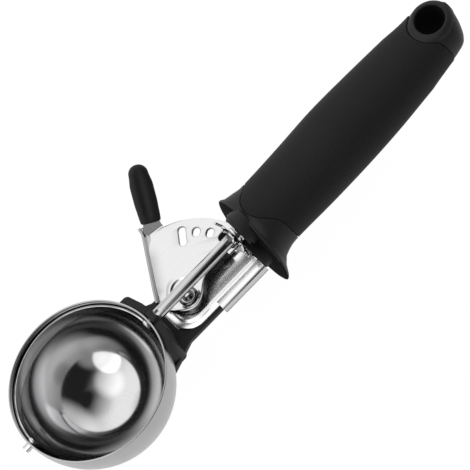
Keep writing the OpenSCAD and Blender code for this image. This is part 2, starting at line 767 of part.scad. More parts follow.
// Block under the lever's plane that carries on from the neck
module nose_block() {
    top = lever_bottom - slit_gap;
    depth = top - frame_bottom + neck_depth + 0.8;
    skin([for (x = [nose_x, lobe_x]) neck_ring(x, neck_half_w + 0.8, top, depth)]);
}

module core_skin() {
    skin(concat([for (g = guard_rings) guard_ring(g)],
        [for (f = [0.15, 0.3, 0.45, 0.6, 0.8, 1]) ring_to_seam(f)],
        [for (f = [1, 0.7, 0.35]) ring_from_seam(front_x1, f, sleeve_t)],
        [for (f = [0, 0.4, 0.7, 1]) flat_ring(front_x1 + (core_x2 - front_x1) * f, sleeve_t)]));
}

module handle_core() {
    color([0.22, 0.22, 0.22]) difference() {
        union() {
            core_skin();
            nose_block();
            rod(boss_r, boss_x, lobe_x - 1);
            translate([boss_x + 1.3, 0, 0]) rotate([0, 90, 0])
                cylinder(r1 = boss_r + 0.8, r2 = boss_r, h = lobe_x - boss_x - 1.8);
        }
        translate([pivot_x, 0, lever_bottom - slit_gap])
            cylinder(r = slit_r, h = lever_t + 2 * slit_gap, $fn = 128);
        rod(rear_bush_r, boss_x - 1, rear_bush_x1);
        translate([nose_x - 5, -tang_w / 2, tang_bottom]) cube([tang_l + 5, tang_w, tang_t]);
        tang_pin_bores();
    }
}

// The rubber sleeve is one skin: out along its outside and back along its bore
module grip_sleeve() {
    bore = sleeve_t - core_inset;
    rear_x0 = core_x2 - 3;
    color([0.12, 0.12, 0.12]) ring_skin(concat(
        [ring_from_seam(front_x1, 1, bore, parting), ring_from_seam(front_x1, 1, 0.3, parting)],
        [for (f = [0.93, 0.7, 0.45, 0.2]) ring_from_seam(front_x1, f)],
        [for (i = [0:8]) flat_ring(front_x1 + (rear_x0 - front_x1) * i / 8)],
        [for (f = [0.35, 0.7, 0.94]) ring_to_cap(rear_x0, f)],
        [ring_to_cap(rear_x0, 1, 0.3, parting), ring_to_cap(rear_x0, 1, bore, parting)],
        [ring_to_cap(core_x2, 0.5, bore)],
        [for (f = [1, 0.7, 0.4, 0]) flat_ring(front_x1 + (core_x2 - front_x1) * f, bore)],
        [for (f = [0.35, 0.7]) ring_from_seam(front_x1, f, bore)]));
}

// A closed skin whose last ring joins its first, so that a hole runs through it
module ring_skin(rings) {
    n = len(rings[0]);
    m = len(rings);
    points = [for (ring = rings) for (p = ring) p];
    walls = [for (i = [0:m - 1]) for (j = [0:n - 1]) let (k = (j + 1) % n, up = (i + 1) % m)
        each [[i * n + j, up * n + k, i * n + k], [i * n + j, up * n + j, up * n + k]]];
    polyhedron(points, walls, convexity = 8);
}

// Rounded collar round the hanging hole
module hang_collar() {
    translate([hang_x, 0, 0]) rotate_extrude() polygon([[hang_r - 1, -4],
        [collar_r - 1.2, -4], [collar_r - 0.05, 3.5], [collar_r, 5], [collar_r - 0.2, 6.1],
        [collar_r - 0.8, 7.2], [collar_r - 1.6, 7.9], [collar_r - 2.3, hang_top],
        [hang_r - 1, hang_top]]);
}

module end_cap() {
    mid = hang_x + 2;
    color([0.15, 0.15, 0.15]) difference() {
        union() {
            skin(concat([flat_ring(core_x2 + core_inset, sleeve_t),
                ring_to_cap(core_x2, 0.5, sleeve_t), ring_to_cap(core_x2, 1, sleeve_t),
                ring_to_cap(core_x2, 1)],
                [for (f = [0.7, 0.4]) [for (t = angles)
                    skin_point(mid + (rear_x(t, 0) - mid) * f, t)]],
                [for (x = [mid, handle_x1 - 4.7, handle_x1 - 2.9, handle_x1 - 1.8, handle_x1 - 0.8,
                    handle_x1]) flat_ring(x)]));
            hang_collar();
        }
        translate([core_x2, -cap_lobe_r - 5, hang_top])
            cube([handle_x1 - core_x2 + 1, 2 * cap_lobe_r + 10, 5]);
        translate([hang_x, 0, hang_top - 3 * grip_w]) cylinder(r = hang_r, h = 4 * grip_w);
    }
}

bowl();
bowl_cradle();
scraper_blade();
blade_tip_pin();
scraper_shaft();
shaft_core();
star_wheel();
wheel_hub();
thrust_washer();
front_bush();
rear_bush();
frame_plate();
frame_rivet();
pivot_post();
pivot_washer();
pivot_spacer();
return_spring();
lever_stops();
lever_plate();
thumb_pad();
saddle_neck();
tang();
tang_pins();
handle_core();
grip_sleeve();
end_cap();
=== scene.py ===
import bmesh
import bpy
from math import atan2, cos, exp, hypot, pi, radians, sin, sqrt
from mathutils import Matrix, Vector


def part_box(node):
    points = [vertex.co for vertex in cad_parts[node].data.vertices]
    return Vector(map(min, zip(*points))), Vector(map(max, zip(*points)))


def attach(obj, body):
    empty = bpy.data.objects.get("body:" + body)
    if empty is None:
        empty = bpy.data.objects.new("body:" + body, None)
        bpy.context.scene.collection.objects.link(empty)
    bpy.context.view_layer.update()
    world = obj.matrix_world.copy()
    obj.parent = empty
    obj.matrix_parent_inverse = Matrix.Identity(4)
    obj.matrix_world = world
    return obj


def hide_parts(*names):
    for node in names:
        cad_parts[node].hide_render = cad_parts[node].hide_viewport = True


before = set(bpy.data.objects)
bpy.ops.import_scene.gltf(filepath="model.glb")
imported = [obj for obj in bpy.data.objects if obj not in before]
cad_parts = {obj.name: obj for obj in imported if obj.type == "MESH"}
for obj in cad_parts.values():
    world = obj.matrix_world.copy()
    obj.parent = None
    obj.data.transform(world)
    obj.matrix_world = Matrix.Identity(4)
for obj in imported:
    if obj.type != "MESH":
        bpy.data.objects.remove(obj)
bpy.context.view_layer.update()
bpy.ops.object.select_all(action="DESELECT")

# Studio. A pale floor under the scoop, a wide soft lamp high over the bowl's end on the thumb
# lever's side, a weak low one on the same side, and a camera with a long lens that looks into
# the bowl.
view_tilt, view_turn, view_roll = radians(59.4), radians(-1.7), radians(44.27)
seen_width, seen_shift, focal, film = 0.172, (0.05289, 0.05433), 250, 36
towards = Vector((sin(view_turn) * cos(view_tilt), -cos(view_turn) * cos(view_tilt),
    sin(view_tilt)))
level = Vector((0, 0, 1)).cross(towards).normalized()
upright = towards.cross(level)
across = cos(view_roll) * level - sin(view_roll) * upright
upward = sin(view_roll) * level + cos(view_roll) * upright
bpy.ops.object.camera_add()
camera = bpy.context.object
camera.data.sensor_width, camera.data.lens = film, focal
camera.data.clip_start, camera.data.clip_end = 0.05, 20
spot = across * seen_shift[0] + upward * seen_shift[1] + towards * (seen_width * focal / film)
turn = Matrix((across, upward, towards)).transposed().to_4x4()
camera.matrix_world = Matrix.Translation(spot) @ turn
bpy.context.scene.camera = camera
bpy.context.scene.view_settings.view_transform = "Standard"

floor_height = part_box("bowl")[0][2]
bpy.ops.mesh.primitive_plane_add(size=6, location=(0.08, 0, floor_height))
floor = bpy.context.object
floor.name = "studio_floor"
pale = bpy.data.materials.new("pale_floor")
pale.use_nodes = True
tree = pale.node_tree
tree.nodes.clear()
paint = tree.nodes.new("ShaderNodeBsdfDiffuse")
paint.inputs["Color"].default_value = (0.8, 0.8, 0.8, 1)
glow = tree.nodes.new("ShaderNodeEmission")
glow.inputs["Color"].default_value = (1, 1, 1, 1)
glow.inputs["Strength"].default_value = 1.08
rays = tree.nodes.new("ShaderNodeLightPath")
seen = rays.outputs["Is Camera Ray"]
for other_ray in ("Is Glossy Ray", "Is Transmission Ray"):
    either = tree.nodes.new("ShaderNodeMath")
    either.operation = "MAXIMUM"
    tree.links.new(seen, either.inputs[0])
    tree.links.new(rays.outputs[other_ray], either.inputs[1])
    seen = either.outputs[0]
share = tree.nodes.new("ShaderNodeMath")
share.operation = "MULTIPLY"
share.inputs[1].default_value = 0.9
tree.links.new(seen, share.inputs[0])
blend = tree.nodes.new("ShaderNodeMixShader")
tree.links.new(share.outputs[0], blend.inputs["Fac"])
tree.links.new(paint.outputs[0], blend.inputs[1])
tree.links.new(glow.outputs[0], blend.inputs[2])
surface = tree.nodes.new("ShaderNodeOutputMaterial")
tree.links.new(blend.outputs[0], surface.inputs["Surface"])
floor.data.materials.append(pale)

for name, place, aim, size, power in (
        ("overhead", (-0.33, 0.40, 0.95), (0.04, 0, 0), 0.9, 4.0),
        ("low_left", (-0.4, 0.6, 0.25), (0.08, 0, 0), 0.4, 0.6)):
    bpy.ops.object.light_add(type="AREA", location=place)
    lamp = bpy.context.object
    lamp.name = name
    lamp.data.size, lamp.data.energy = size, power
    lamp.visible_glossy = False
    lamp.rotation_euler = (Vector(place) - Vector(aim)).to_track_quat("Z", "Y").to_euler()

# Room. Polished steel sees a broad light from the thumb lever's side to overhead, small windows
# beyond the bowl, one behind the handle and a dark side behind the viewer. Each row adds or
# takes light round a direction. All other rays see an even grey.
room = bpy.data.worlds.new("studio_room")
bpy.context.scene.world = room
room.use_nodes = True
tree = room.node_tree
tree.nodes.clear()
facing = tree.nodes.new("ShaderNodeTexCoord")
total = None
for where_to, soft, dark, light in (
        ((-0.447, 0.8305, 0.4826), (-0.18, 0.8), 0.03, 1.9),
        ((-0.447, 0.8305, 0.4826), (0.94, 1.05), 0, -0.7),
        ((-0.6185, -0.4985, 0.61), (0.935, 0.96), 0, 1.6),
        ((0.25, -0.05, 0.967), (0.9, 0.995), 0, -0.45),
        ((0.95, 0.1, 0.3), (0.7, 0.95), 0, 1.1),
        ((-0.45, -0.78, 0.43), (0.9, 0.975), 0, 0.45),
        ((-0.3, -0.212, 0.93), (0.9, 0.98), 0, 0.7)):
    near = tree.nodes.new("ShaderNodeVectorMath")
    near.operation = "DOT_PRODUCT"
    near.inputs[1].default_value = where_to
    tree.links.new(facing.outputs["Generated"], near.inputs[0])
    soft_box = tree.nodes.new("ShaderNodeMapRange")
    soft_box.interpolation_type = "SMOOTHSTEP"
    soft_box.inputs["From Min"].default_value, soft_box.inputs["From Max"].default_value = soft
    soft_box.inputs["To Min"].default_value, soft_box.inputs["To Max"].default_value = dark, light
    tree.links.new(near.outputs["Value"], soft_box.inputs["Value"])
    if total is None:
        total = soft_box.outputs["Result"]
    else:
        both = tree.nodes.new("ShaderNodeMath")
        both.operation = "ADD"
        tree.links.new(total, both.inputs[0])
        tree.links.new(soft_box.outputs["Result"], both.inputs[1])
        total = both.outputs[0]
rays = tree.nodes.new("ShaderNodeLightPath")
mixed = tree.nodes.new("ShaderNodeMix")
mixed.inputs["A"].default_value = 0.6
tree.links.new(rays.outputs["Is Glossy Ray"], mixed.inputs["Factor"])
lowest = tree.nodes.new("ShaderNodeMath")
lowest.operation = "MAXIMUM"
lowest.inputs[1].default_value = 0.03
tree.links.new(total, lowest.inputs[0])
tree.links.new(lowest.outputs[0], mixed.inputs["B"])
sky = tree.nodes.new("ShaderNodeBackground")
tree.links.new(mixed.outputs["Result"], sky.inputs["Strength"])
surface = tree.nodes.new("ShaderNodeOutputWorld")
tree.links.new(sky.outputs[0], surface.inputs["Surface"])

# Bowl. Spun from one disc of stainless steel, satin outside and polished inside, with a
# straight collar and a rounded rim. It is welded to the cradle and held by the saddle.
bowl_r, bowl_wall, collar_top = 0.0315, 0.0008, 0.0034


def shader_group(name, asked, kind, *answers):
    """A node group with one input and some outputs from 0 to 1, and its two end nodes."""
    group = bpy.data.node_groups.new(name, "ShaderNodeTree")
    group.interface.new_socket(asked, in_out="INPUT", socket_type=kind)
    for answer in answers:
        group.interface.new_socket(answer, in_out="OUTPUT", socket_type="NodeSocketFloat")
    return group, group.nodes.new("NodeGroupInput"), group.nodes.new("NodeGroupOutput")


def noise(tree, place, scale, detail=2):
    """Soft noise at a place."""
    cloud = tree.nodes.new("ShaderNodeTexNoise")
    cloud.inputs["Scale"].default_value = scale
    cloud.inputs["Detail"].default_value = detail
    tree.links.new(place, cloud.inputs["Vector"])
    return cloud.outputs["Fac"]


def tinted(tree, share, first, second):
    """A colour that goes from the first to the second with a share."""
    tint = tree.nodes.new("ShaderNodeMix")
    tint.data_type = "RGBA"
    tint.inputs["A"].default_value = (*first, 1)
    tint.inputs["B"].default_value = (*second, 1)
    tree.links.new(share, tint.inputs["Factor"])
    return tint.outputs["Result"]


def marked(name, group, asked, value):
    """A new material with a node group in it: its tree, its shader and the group's node."""
    material = bpy.data.materials.new(name)
    material.use_nodes = True
    tree = material.node_tree
    marks = tree.nodes.new("ShaderNodeGroup")
    marks.node_tree = group
    marks.inputs[asked].default_value = value
    return material, tree, tree.nodes["Principled BSDF"], marks


def surfaced(tree, shader, colour, wear, rough, height, depth):
    """Links a shader's colour, its roughness between two values, and its relief."""
    spread = tree.nodes.new("ShaderNodeMapRange")
    spread.inputs["To Min"].default_value, spread.inputs["To Max"].default_value = rough
    bump = tree.nodes.new("ShaderNodeBump")
    bump.inputs["Distance"].default_value = depth
    bump.inputs["Strength"].default_value = 1
    for output, place in ((colour, shader.inputs["Base Color"]), (wear, spread.inputs["Value"]),
            (spread.outputs["Result"], shader.inputs["Roughness"]),
            (height, bump.inputs["Height"]), (bump.outputs["Normal"], shader.inputs["Normal"])):
        tree.links.new(output, place)


spun_marks, given, result = shader_group("spun_marks", "Fineness", "NodeSocketFloat",
    "Lines", "Smudge")
tree = spun_marks
where = tree.nodes.new("ShaderNodeTexCoord").outputs["Object"]
parts = tree.nodes.new("ShaderNodeSeparateXYZ")
tree.links.new(where, parts.inputs[0])
flat = tree.nodes.new("ShaderNodeCombineXYZ")
tree.links.new(parts.outputs["X"], flat.inputs["X"])
tree.links.new(parts.outputs["Y"], flat.inputs["Y"])
out_from_axis = tree.nodes.new("ShaderNodeVectorMath")
out_from_axis.operation = "LENGTH"
tree.links.new(flat.outputs[0], out_from_axis.inputs[0])
ring_place = tree.nodes.new("ShaderNodeCombineXYZ")
tree.links.new(out_from_axis.outputs["Value"], ring_place.inputs["X"])
tree.links.new(parts.outputs["Z"], ring_place.inputs["Y"])
finer = tree.nodes.new("ShaderNodeVectorMath")
finer.operation = "SCALE"
tree.links.new(ring_place.outputs[0], finer.inputs[0])
tree.links.new(given.outputs["Fineness"], finer.inputs["Scale"])
drift = tree.nodes.new("ShaderNodeVectorMath")
drift.operation = "SCALE"
drift.inputs["Scale"].default_value = 25
tree.links.new(flat.outputs[0], drift.inputs[0])
lines_at = tree.nodes.new("ShaderNodeVectorMath")
lines_at.operation = "ADD"
tree.links.new(finer.outputs[0], lines_at.inputs[0])
tree.links.new(drift.outputs[0], lines_at.inputs[1])
tree.links.new(noise(tree, lines_at.outputs[0], 1, 3), result.inputs["Lines"])
tree.links.new(noise(tree, where, 120), result.inputs["Smudge"])


def spun_steel(name, colour, rough, fineness, depth, rim_painted_shade):
    """Steel with fine rings round the bowl's axis, and painted shade near its rim where that is
    asked.
    """
    steel, tree, shader, rings = marked(name, spun_marks, "Fineness", fineness)
    shader.inputs["Metallic"].default_value = 1
    tint = tinted(tree, rings.outputs["Lines"], [c * 0.88 for c in colour], colour)
    place = tree.nodes.new("ShaderNodeTexCoord")
    axes = tree.nodes.new("ShaderNodeSeparateXYZ")
    tree.links.new(place.outputs["Object"], axes.inputs[0])
    # Painted shade: the colour darkens towards the rim by the share given, for the dark reflections
    # there.
    rim_shade_share = tree.nodes.new("ShaderNodeMapRange")
    rim_shade_share.interpolation_type = "SMOOTHSTEP"
    rim_shade_share.inputs["From Min"].default_value = -0.016
    rim_shade_share.inputs["From Max"].default_value = 0.002
    rim_shade_share.inputs["To Max"].default_value = rim_painted_shade
    tree.links.new(axes.outputs["Z"], rim_shade_share.inputs["Value"])
    darker = tinted(tree, rim_shade_share.outputs["Result"], colour, [c * 0.2 for c in colour])
    tree.links.new(tint, darker.node.inputs["A"])
    surfaced(tree, shader, darker, rings.outputs["Smudge"], rough, rings.outputs["Lines"], depth)
    return steel


satin_outside = spun_steel("bowl_satin_outside", (0.43, 0.43, 0.435), (0.26, 0.40), 4200,
    0.000003, 0)
polished_inside = spun_steel("bowl_polished_inside", (0.54, 0.54, 0.545), (0.06, 0.12), 2600,
    0.0000006, 0.5)

bpy.ops.mesh.primitive_uv_sphere_add(segments=192, ring_count=128, radius=bowl_r)
bowl = bpy.context.object
bowl.name = "bowl_shell"
bpy.ops.object.mode_set(mode="EDIT")
bpy.ops.mesh.select_all(action="SELECT")
bpy.ops.mesh.bisect(plane_co=(0, 0, 0), plane_no=(0, 0, 1), clear_outer=True)
bpy.ops.mesh.extrude_region_move(TRANSFORM_OT_translate={"value": (0, 0, collar_top)})
bpy.ops.object.mode_set(mode="OBJECT")
wall = bowl.modifiers.new("wall", "SOLIDIFY")
wall.thickness, wall.offset, wall.use_even_offset = bowl_wall, -1, True
bpy.ops.object.modifier_apply(modifier="wall")
rim = bowl.modifiers.new("rim", "BEVEL")
rim.width, rim.segments, rim.limit_method, rim.angle_limit = 0.00036, 4, "ANGLE", radians(60)
bpy.ops.object.modifier_apply(modifier="rim")
bpy.ops.object.shade_smooth_by_angle(angle=radians(40))
bowl.data.materials.append(satin_outside)
bowl.data.materials.append(polished_inside)
for face in bowl.data.polygons:
    spot_in = face.center.length if face.center.z < 0 else hypot(face.center.x, face.center.y)
    face.material_index = 1 if spot_in < bowl_r - bowl_wall / 2 else 0
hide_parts("bowl")
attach(bowl, "handle_frame")
bowl.select_set(False)

# Scraper. A strip of bright spring steel sweeps the bowl's inside. It turns on a split pin
# at the bowl's far side and on a rod, which runs in a tube from the bowl's bush to the
# handle and carries a dished star wheel there.
sheet_lines, given, result = shader_group("sheet_lines", "Along", "NodeSocketVector",
    "Lines", "Smudge")
tree = sheet_lines
where = tree.nodes.new("ShaderNodeTexCoord").outputs["Object"]
drawn_out = tree.nodes.new("ShaderNodeVectorMath")
drawn_out.operation = "MULTIPLY"
tree.links.new(where, drawn_out.inputs[0])
tree.links.new(given.outputs["Along"], drawn_out.inputs[1])
tree.links.new(noise(tree, drawn_out.outputs[0], 1), result.inputs["Lines"])
tree.links.new(noise(tree, where, 160), result.inputs["Smudge"])


def sheet_steel(name, colour, rough, along, depth):
    """Steel with fine lines, drawn out along the axis with the smallest number in along."""
    steel, tree, shader, finish = marked(name, sheet_lines, "Along", along)
    shader.inputs["Metallic"].default_value = 1
    tint = tinted(tree, finish.outputs["Lines"], [c * 0.94 for c in colour], colour)
    surfaced(tree, shader, tint, finish.outputs["Smudge"], rough, finish.outputs["Lines"], depth)
    return steel


def hand_in(piece, node, body, *materials):
    """Gives a finished piece its materials and its body, and hides the node that it stands for."""
    for material in materials:
        piece.data.materials.append(material)
    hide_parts(node)
    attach(piece, body)
    piece.select_set(False)
    return piece


def pick(*pieces):
    """Selects these pieces alone, with the first one active."""
    bpy.ops.object.select_all(action="DESELECT")
    for piece in pieces:
        piece.select_set(True)
    bpy.context.view_layer.objects.active = pieces[0]


def tumbled_copy(node, name, edge, material, body):
    """A copy of a CAD node with rounded edges, which stands for it."""
    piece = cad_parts[node].copy()
    piece.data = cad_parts[node].data.copy()
    piece.parent = None
    piece.matrix_world = Matrix.Identity(4)
    piece.name = name
    piece.data.materials.clear()
    bpy.context.scene.collection.objects.link(piece)
    pick(piece)
    bpy.ops.object.mode_set(mode="EDIT")
    bpy.ops.mesh.select_all(action="SELECT")
    bpy.ops.mesh.remove_doubles(threshold=0.000004)
    bpy.ops.mesh.dissolve_limited(angle_limit=radians(0.8))
    bpy.ops.mesh.select_all(action="DESELECT")
    bpy.ops.object.mode_set(mode="OBJECT")
    if edge:
        rounding = piece.modifiers.new("edges", "BEVEL")
        rounding.width, rounding.segments, rounding.limit_method = edge, 2, "ANGLE"
        rounding.angle_limit, rounding.use_clamp_overlap = radians(35), True
        rounding.miter_outer = "MITER_ARC"
        bpy.ops.object.modifier_apply(modifier="edges")
    bpy.ops.object.shade_smooth_by_angle(angle=radians(32))
    return hand_in(piece, node, body, material)


bright_sheet = sheet_steel("bright_sheet", (0.58, 0.58, 0.585), (0.10, 0.18),
    (90, 900, 900), 0.0000002)
bright_turned = sheet_steel("bright_turned", (0.6, 0.6, 0.605), (0.06, 0.14),
    (2600, 90, 90), 0.0000005)
# Painted shade: a dark copy of the sheet steel, put on faces that are meant to look shaded.
painted_shade_steel = sheet_steel("painted_shade_sheet", (0.13, 0.13, 0.132), (0.16, 0.26),
    (300, 900, 900), 0.0000005)
drawn_tube = sheet_steel("drawn_tube", (0.46, 0.46, 0.465), (0.1, 0.18),
    (60, 2400, 2400), 0.000004)
plain_steel = sheet_steel("plain_bar_steel", (0.45, 0.45, 0.46), (0.3, 0.5),
    (120, 1600, 1600), 0.000003)
tumbled_copy("scraper_blade", "blade_strip", 0.00012, bright_sheet, "scraper")
tumbled_copy("blade_tip_pin", "blade_pin", 0.00012, bright_turned, "scraper")
tube = tumbled_copy("scraper_shaft", "shaft_tube", 0.0001, drawn_tube, "scraper")
tube_end_x, tube_shortening = 0.034, 0.00445
for corner in tube.data.vertices:
    if corner.co.x < tube_end_x:
        corner.co.x += tube_shortening
tumbled_copy("shaft_core", "shaft_rod", 0.0001, plain_steel, "scraper")
wheel = tumbled_copy("star_wheel", "star_wheel_sheet", 0.00015, painted_shade_steel, "scraper")
# Painted shade: the wheel's flat faces get the dark copy of its steel; the rim and tooth edges keep
# the bright one.
wheel.data.materials.append(bright_sheet)
for face in wheel.data.polygons:
    face.material_index = 1 if abs(face.normal.x) < 0.9 else 0
tumbled_copy("wheel_hub", "wheel_hub_ring", 0.0002, bright_turned, "scraper")
tumbled_copy("thrust_washer", "thrust_washer_ring", 0.00006, bright_turned, "scraper")

# Frame. A pressed plate lies on the neck under the lever, with a raised panel inside a soft
# step and side flanges that are turned down over the neck. It ends sooner on the lever's
# side than on the other. A rivet holds it to the tang.
plate_x0, plate_half_w, plate_nose_r = 0.0366, 0.0103, 0.0088
plate_ends = {-1: 0.0753, 1: 0.0698}
plate_top, panel_rise, plate_bottom = -0.0095975, 0.00035, -0.0107975
flange_x0, flange_half_w, flange_drop, flange_bend_r = 0.0534, 0.0126, 0.0043, 0.0013
flange_root_y, flange_sheet_t, flange_mid_y, flange_mid_z = 0.0083, 0.001, 0.0118, -0.0125


def lofted(name, rings, tube=False):
    """Extrudes a loop of edges from ring to ring. Each ring is a list of points. The ends are
    filled, or with tube the last ring is joined to the first."""
    bpy.ops.object.select_all(action="DESELECT")
    count = len(rings[0])
    bpy.ops.mesh.primitive_circle_add(vertices=count, radius=0.01)
    piece = bpy.context.object
    piece.name = name
    bpy.ops.object.mode_set(mode="EDIT")
    bpy.ops.mesh.select_all(action="SELECT")
    slots = {j: j for j in range(count)}
    for number, ring in enumerate(rings + [rings[0]] if tube else rings):
        if number:
            bpy.ops.mesh.extrude_edges_move()
        shape = bmesh.from_edit_mesh(piece.data)
        shape.verts.index_update()
        shape.verts.ensure_lookup_table()
        fresh = {}
        for corner in shape.verts[-count:]:
            if number:
                below = [e.other_vert(corner).index for e in corner.link_edges]
                fresh[corner.index] = next(slots[b] for b in below if b in slots)
            else:
                fresh[corner.index] = corner.index
            corner.co = ring[fresh[corner.index]]
        slots = fresh
        bmesh.update_edit_mesh(piece.data)
    if not tube:
        bpy.ops.mesh.edge_face_add()
        bpy.ops.mesh.select_all(action="DESELECT")
        shape = bmesh.from_edit_mesh(piece.data)
        shape.verts.ensure_lookup_table()
        for corner in shape.verts[:count]:
            corner.select = True
        shape.select_flush(True)
        bpy.ops.mesh.edge_face_add()
    bpy.ops.mesh.select_all(action="SELECT")
    bpy.ops.mesh.remove_doubles(threshold=0.0000005)
    bpy.ops.mesh.normals_make_consistent(inside=False)
    bpy.ops.object.mode_set(mode="OBJECT")
    return piece


def smoothed(piece, angle):
    """Smooths a piece where its faces meet at less than an angle in degrees."""
    pick(piece)
    bpy.ops.object.shade_smooth_by_angle(angle=radians(angle))
    return piece


def joined(name, pieces):
    """Makes one piece of several."""
    pick(*pieces)
    bpy.ops.object.join()
    whole = bpy.context.object
    whole.name = name
    return whole


def plate_ring(inset, height):
    """The plate's outline, drawn in by inset, with its square end at the handle."""
    r = plate_nose_r - inset
    half_w = plate_half_w - inset
    ring = []
    for side, end in plate_ends.items():
        arc = [Vector((plate_x0 + inset + r - r * sin(a), side * (half_w - r + r * cos(a)), height))
            for a in [radians(90 * k / 14) for k in range(15)]]
        along = [Vector((end + (arc[0].x - end) * k / 12, side * half_w, height))
            for k in range(12)]
        ring += (along + arc) if side < 0 else (along + arc)[::-1]
    return ring


border_z = plate_top - panel_rise
step_rings = [(0.0002, plate_bottom), (0, plate_bottom + 0.00015), (0, border_z - 0.00018),
    (0.00006, border_z - 0.00005), (0.0002, border_z)]
step_rings += [(0.0021 + 0.0016 * k / 10, plate_top - panel_rise * (0.5 + 0.5 * cos(pi * k / 10)))
    for k in range(11)]
frame_parts = [smoothed(lofted("frame_top", [plate_ring(*ring) for ring in step_rings]), 50)]
low_edge = plate_top - flange_drop
bend_y, bend_z = flange_half_w - flange_bend_r, border_z - flange_bend_r
inner_y = flange_half_w - flange_sheet_t
flange_top = border_z + 0.00001
profile = [(flange_root_y, border_z - 0.00002), (flange_root_y + 0.0002, flange_top),
    (bend_y - 0.0001, flange_top)]
profile += [(bend_y + flange_bend_r * sin(a), bend_z + 0.00001 + flange_bend_r * cos(a))
    for a in [radians(90 * k / 12) for k in range(13)]]
profile += [(flange_half_w, low_edge + 0.00015), (flange_half_w - 0.00015, low_edge),
    (inner_y + 0.00015, low_edge), (inner_y, low_edge + 0.00015), (inner_y, plate_bottom - 0.0003),
    (inner_y - 0.0003, plate_bottom), (flange_root_y, plate_bottom)]
for side, end in plate_ends.items():
    rings = []
    for x, shrink in ((flange_x0, 0.00018), (flange_x0 + 0.00006, 0.00006),
            (flange_x0 + 0.0002, 0), (end, 0)):
        ring = []
        for y, z in profile:
            outward = (-1 if y > flange_mid_y else 1) * (z < plate_bottom)
            lifted = 1 if z < flange_mid_z else (-1 if z > plate_bottom + 0.0004 else 0)
            ring.append(Vector((x, side * y, z)) + Vector((0, side * shrink * outward,
                shrink * lifted)))
        rings.append(ring)
    frame_parts.append(smoothed(lofted("frame_flange", rings), 50))
frame_polish = sheet_steel("frame_polish", (0.85, 0.85, 0.855), (0.22, 0.3),
    (90, 700, 700), 0.0000003)
satin_flange_and_shade = sheet_steel("satin_flange_and_shade", (0.56, 0.56, 0.565), (0.22, 0.34),
    (200, 900, 900), 0.000001)
frame_sheet = joined("frame_sheet", frame_parts)
hand_in(frame_sheet, "frame_plate", "handle_frame", frame_polish, satin_flange_and_shade)
# Painted shade: the turned-down flanges get a darker copy of the plate's steel, with a slightly
# rougher satin finish.
for face in frame_sheet.data.polygons:
    face.material_index = 1 if abs(face.center.y) > flange_half_w - 0.0011 else 0
tumbled_copy("bowl_cradle", "cradle_patch", 0.0001, plain_steel, "handle_frame")
tumbled_copy("tang", "tang_bar", 0.0002, plain_steel, "handle_frame")
tumbled_copy("tang_pins", "tang_pin_rods", 0.0001, plain_steel, "handle_frame")


def turned(name, profile, centre, steps=64):
    """A piece turned about a vertical axis. The profile is radius and height, from its foot."""
    angles = [2 * pi * k / steps for k in range(steps)]
    return smoothed(lofted(name, [[Vector((r * cos(a), r * sin(a), z)) + Vector(centre)
        for a in angles] for r, z in profile]), 40)


rivet_r, rivet_x = 0.0018, 0.066
rivet_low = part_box("frame_rivet")[0]
rivet = turned("frame_rivet_head", [(rivet_r, rivet_low[2]), (rivet_r, plate_top - 0.00004),
    (rivet_r - 0.00002, plate_top + 0.00001), (rivet_r - 0.0001, plate_top + 0.00003),
    (0.0001, plate_top + 0.00003)], (rivet_x, 0, 0))
hand_in(rivet, "frame_rivet", "handle_frame", frame_polish)

# Pivot. The thumb lever turns on a steel rivet with a dished, stepped head over a washer.
# A spacer keeps it off the plate, and a hairpin spring and two stop pins lie under it.
pivot_at = (0.0478, 0, 0)
post_low, post_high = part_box("pivot_post")
head_z = post_high[2] - 0.0016
head = [(0.004, post_low[2]), (0.004, post_low[2] + 0.0012), (0.0025, post_low[2] + 0.0012),
    (0.0025, head_z), (0.00375, head_z), (0.0039, head_z + 0.00012), (0.0039, head_z + 0.0003),
    (0.00378, head_z + 0.0006), (0.0034, head_z + 0.00092), (0.003, head_z + 0.00104),
    (0.0027, head_z + 0.00104), (0.00245, head_z + 0.00095), (0.0023, head_z + 0.00075),
    (0.0021, head_z + 0.00062), (0.0019, head_z + 0.00062), (0.0017, head_z + 0.00075),
    (0.0015, head_z + 0.00105), (0.0012, head_z + 0.00128), (0.0008, head_z + 0.00142),
    (0.0004, head_z + 0.00148), (0.0001, head_z + 0.0015)]
pivot = hand_in(turned("pivot_rivet", head, pivot_at), "pivot_post", "handle_frame",
    bright_turned, painted_shade_steel)
# Painted reflection: the head's two dished rings get the dark steel, for the dark things they
# mirror.
for face in pivot.data.polygons:
    out = hypot(face.center.x - pivot_at[0], face.center.y)
    in_shaded_dish = 0.00075 < out < 0.0022 or 0.00265 < out < 0.00375
    face.material_index = 1 if face.center.z > head_z and in_shaded_dish else 0
tumbled_copy("pivot_washer", "pivot_washer_ring", 0.0001, bright_turned, "handle_frame")
tumbled_copy("pivot_spacer", "pivot_spacer_ring", 0.0001, bright_turned, "handle_frame")
tumbled_copy("return_spring", "spring_wire", 0, plain_steel, "handle_frame")
tumbled_copy("lever_stops", "stop_pins", 0.00008, plain_steel, "handle_frame")

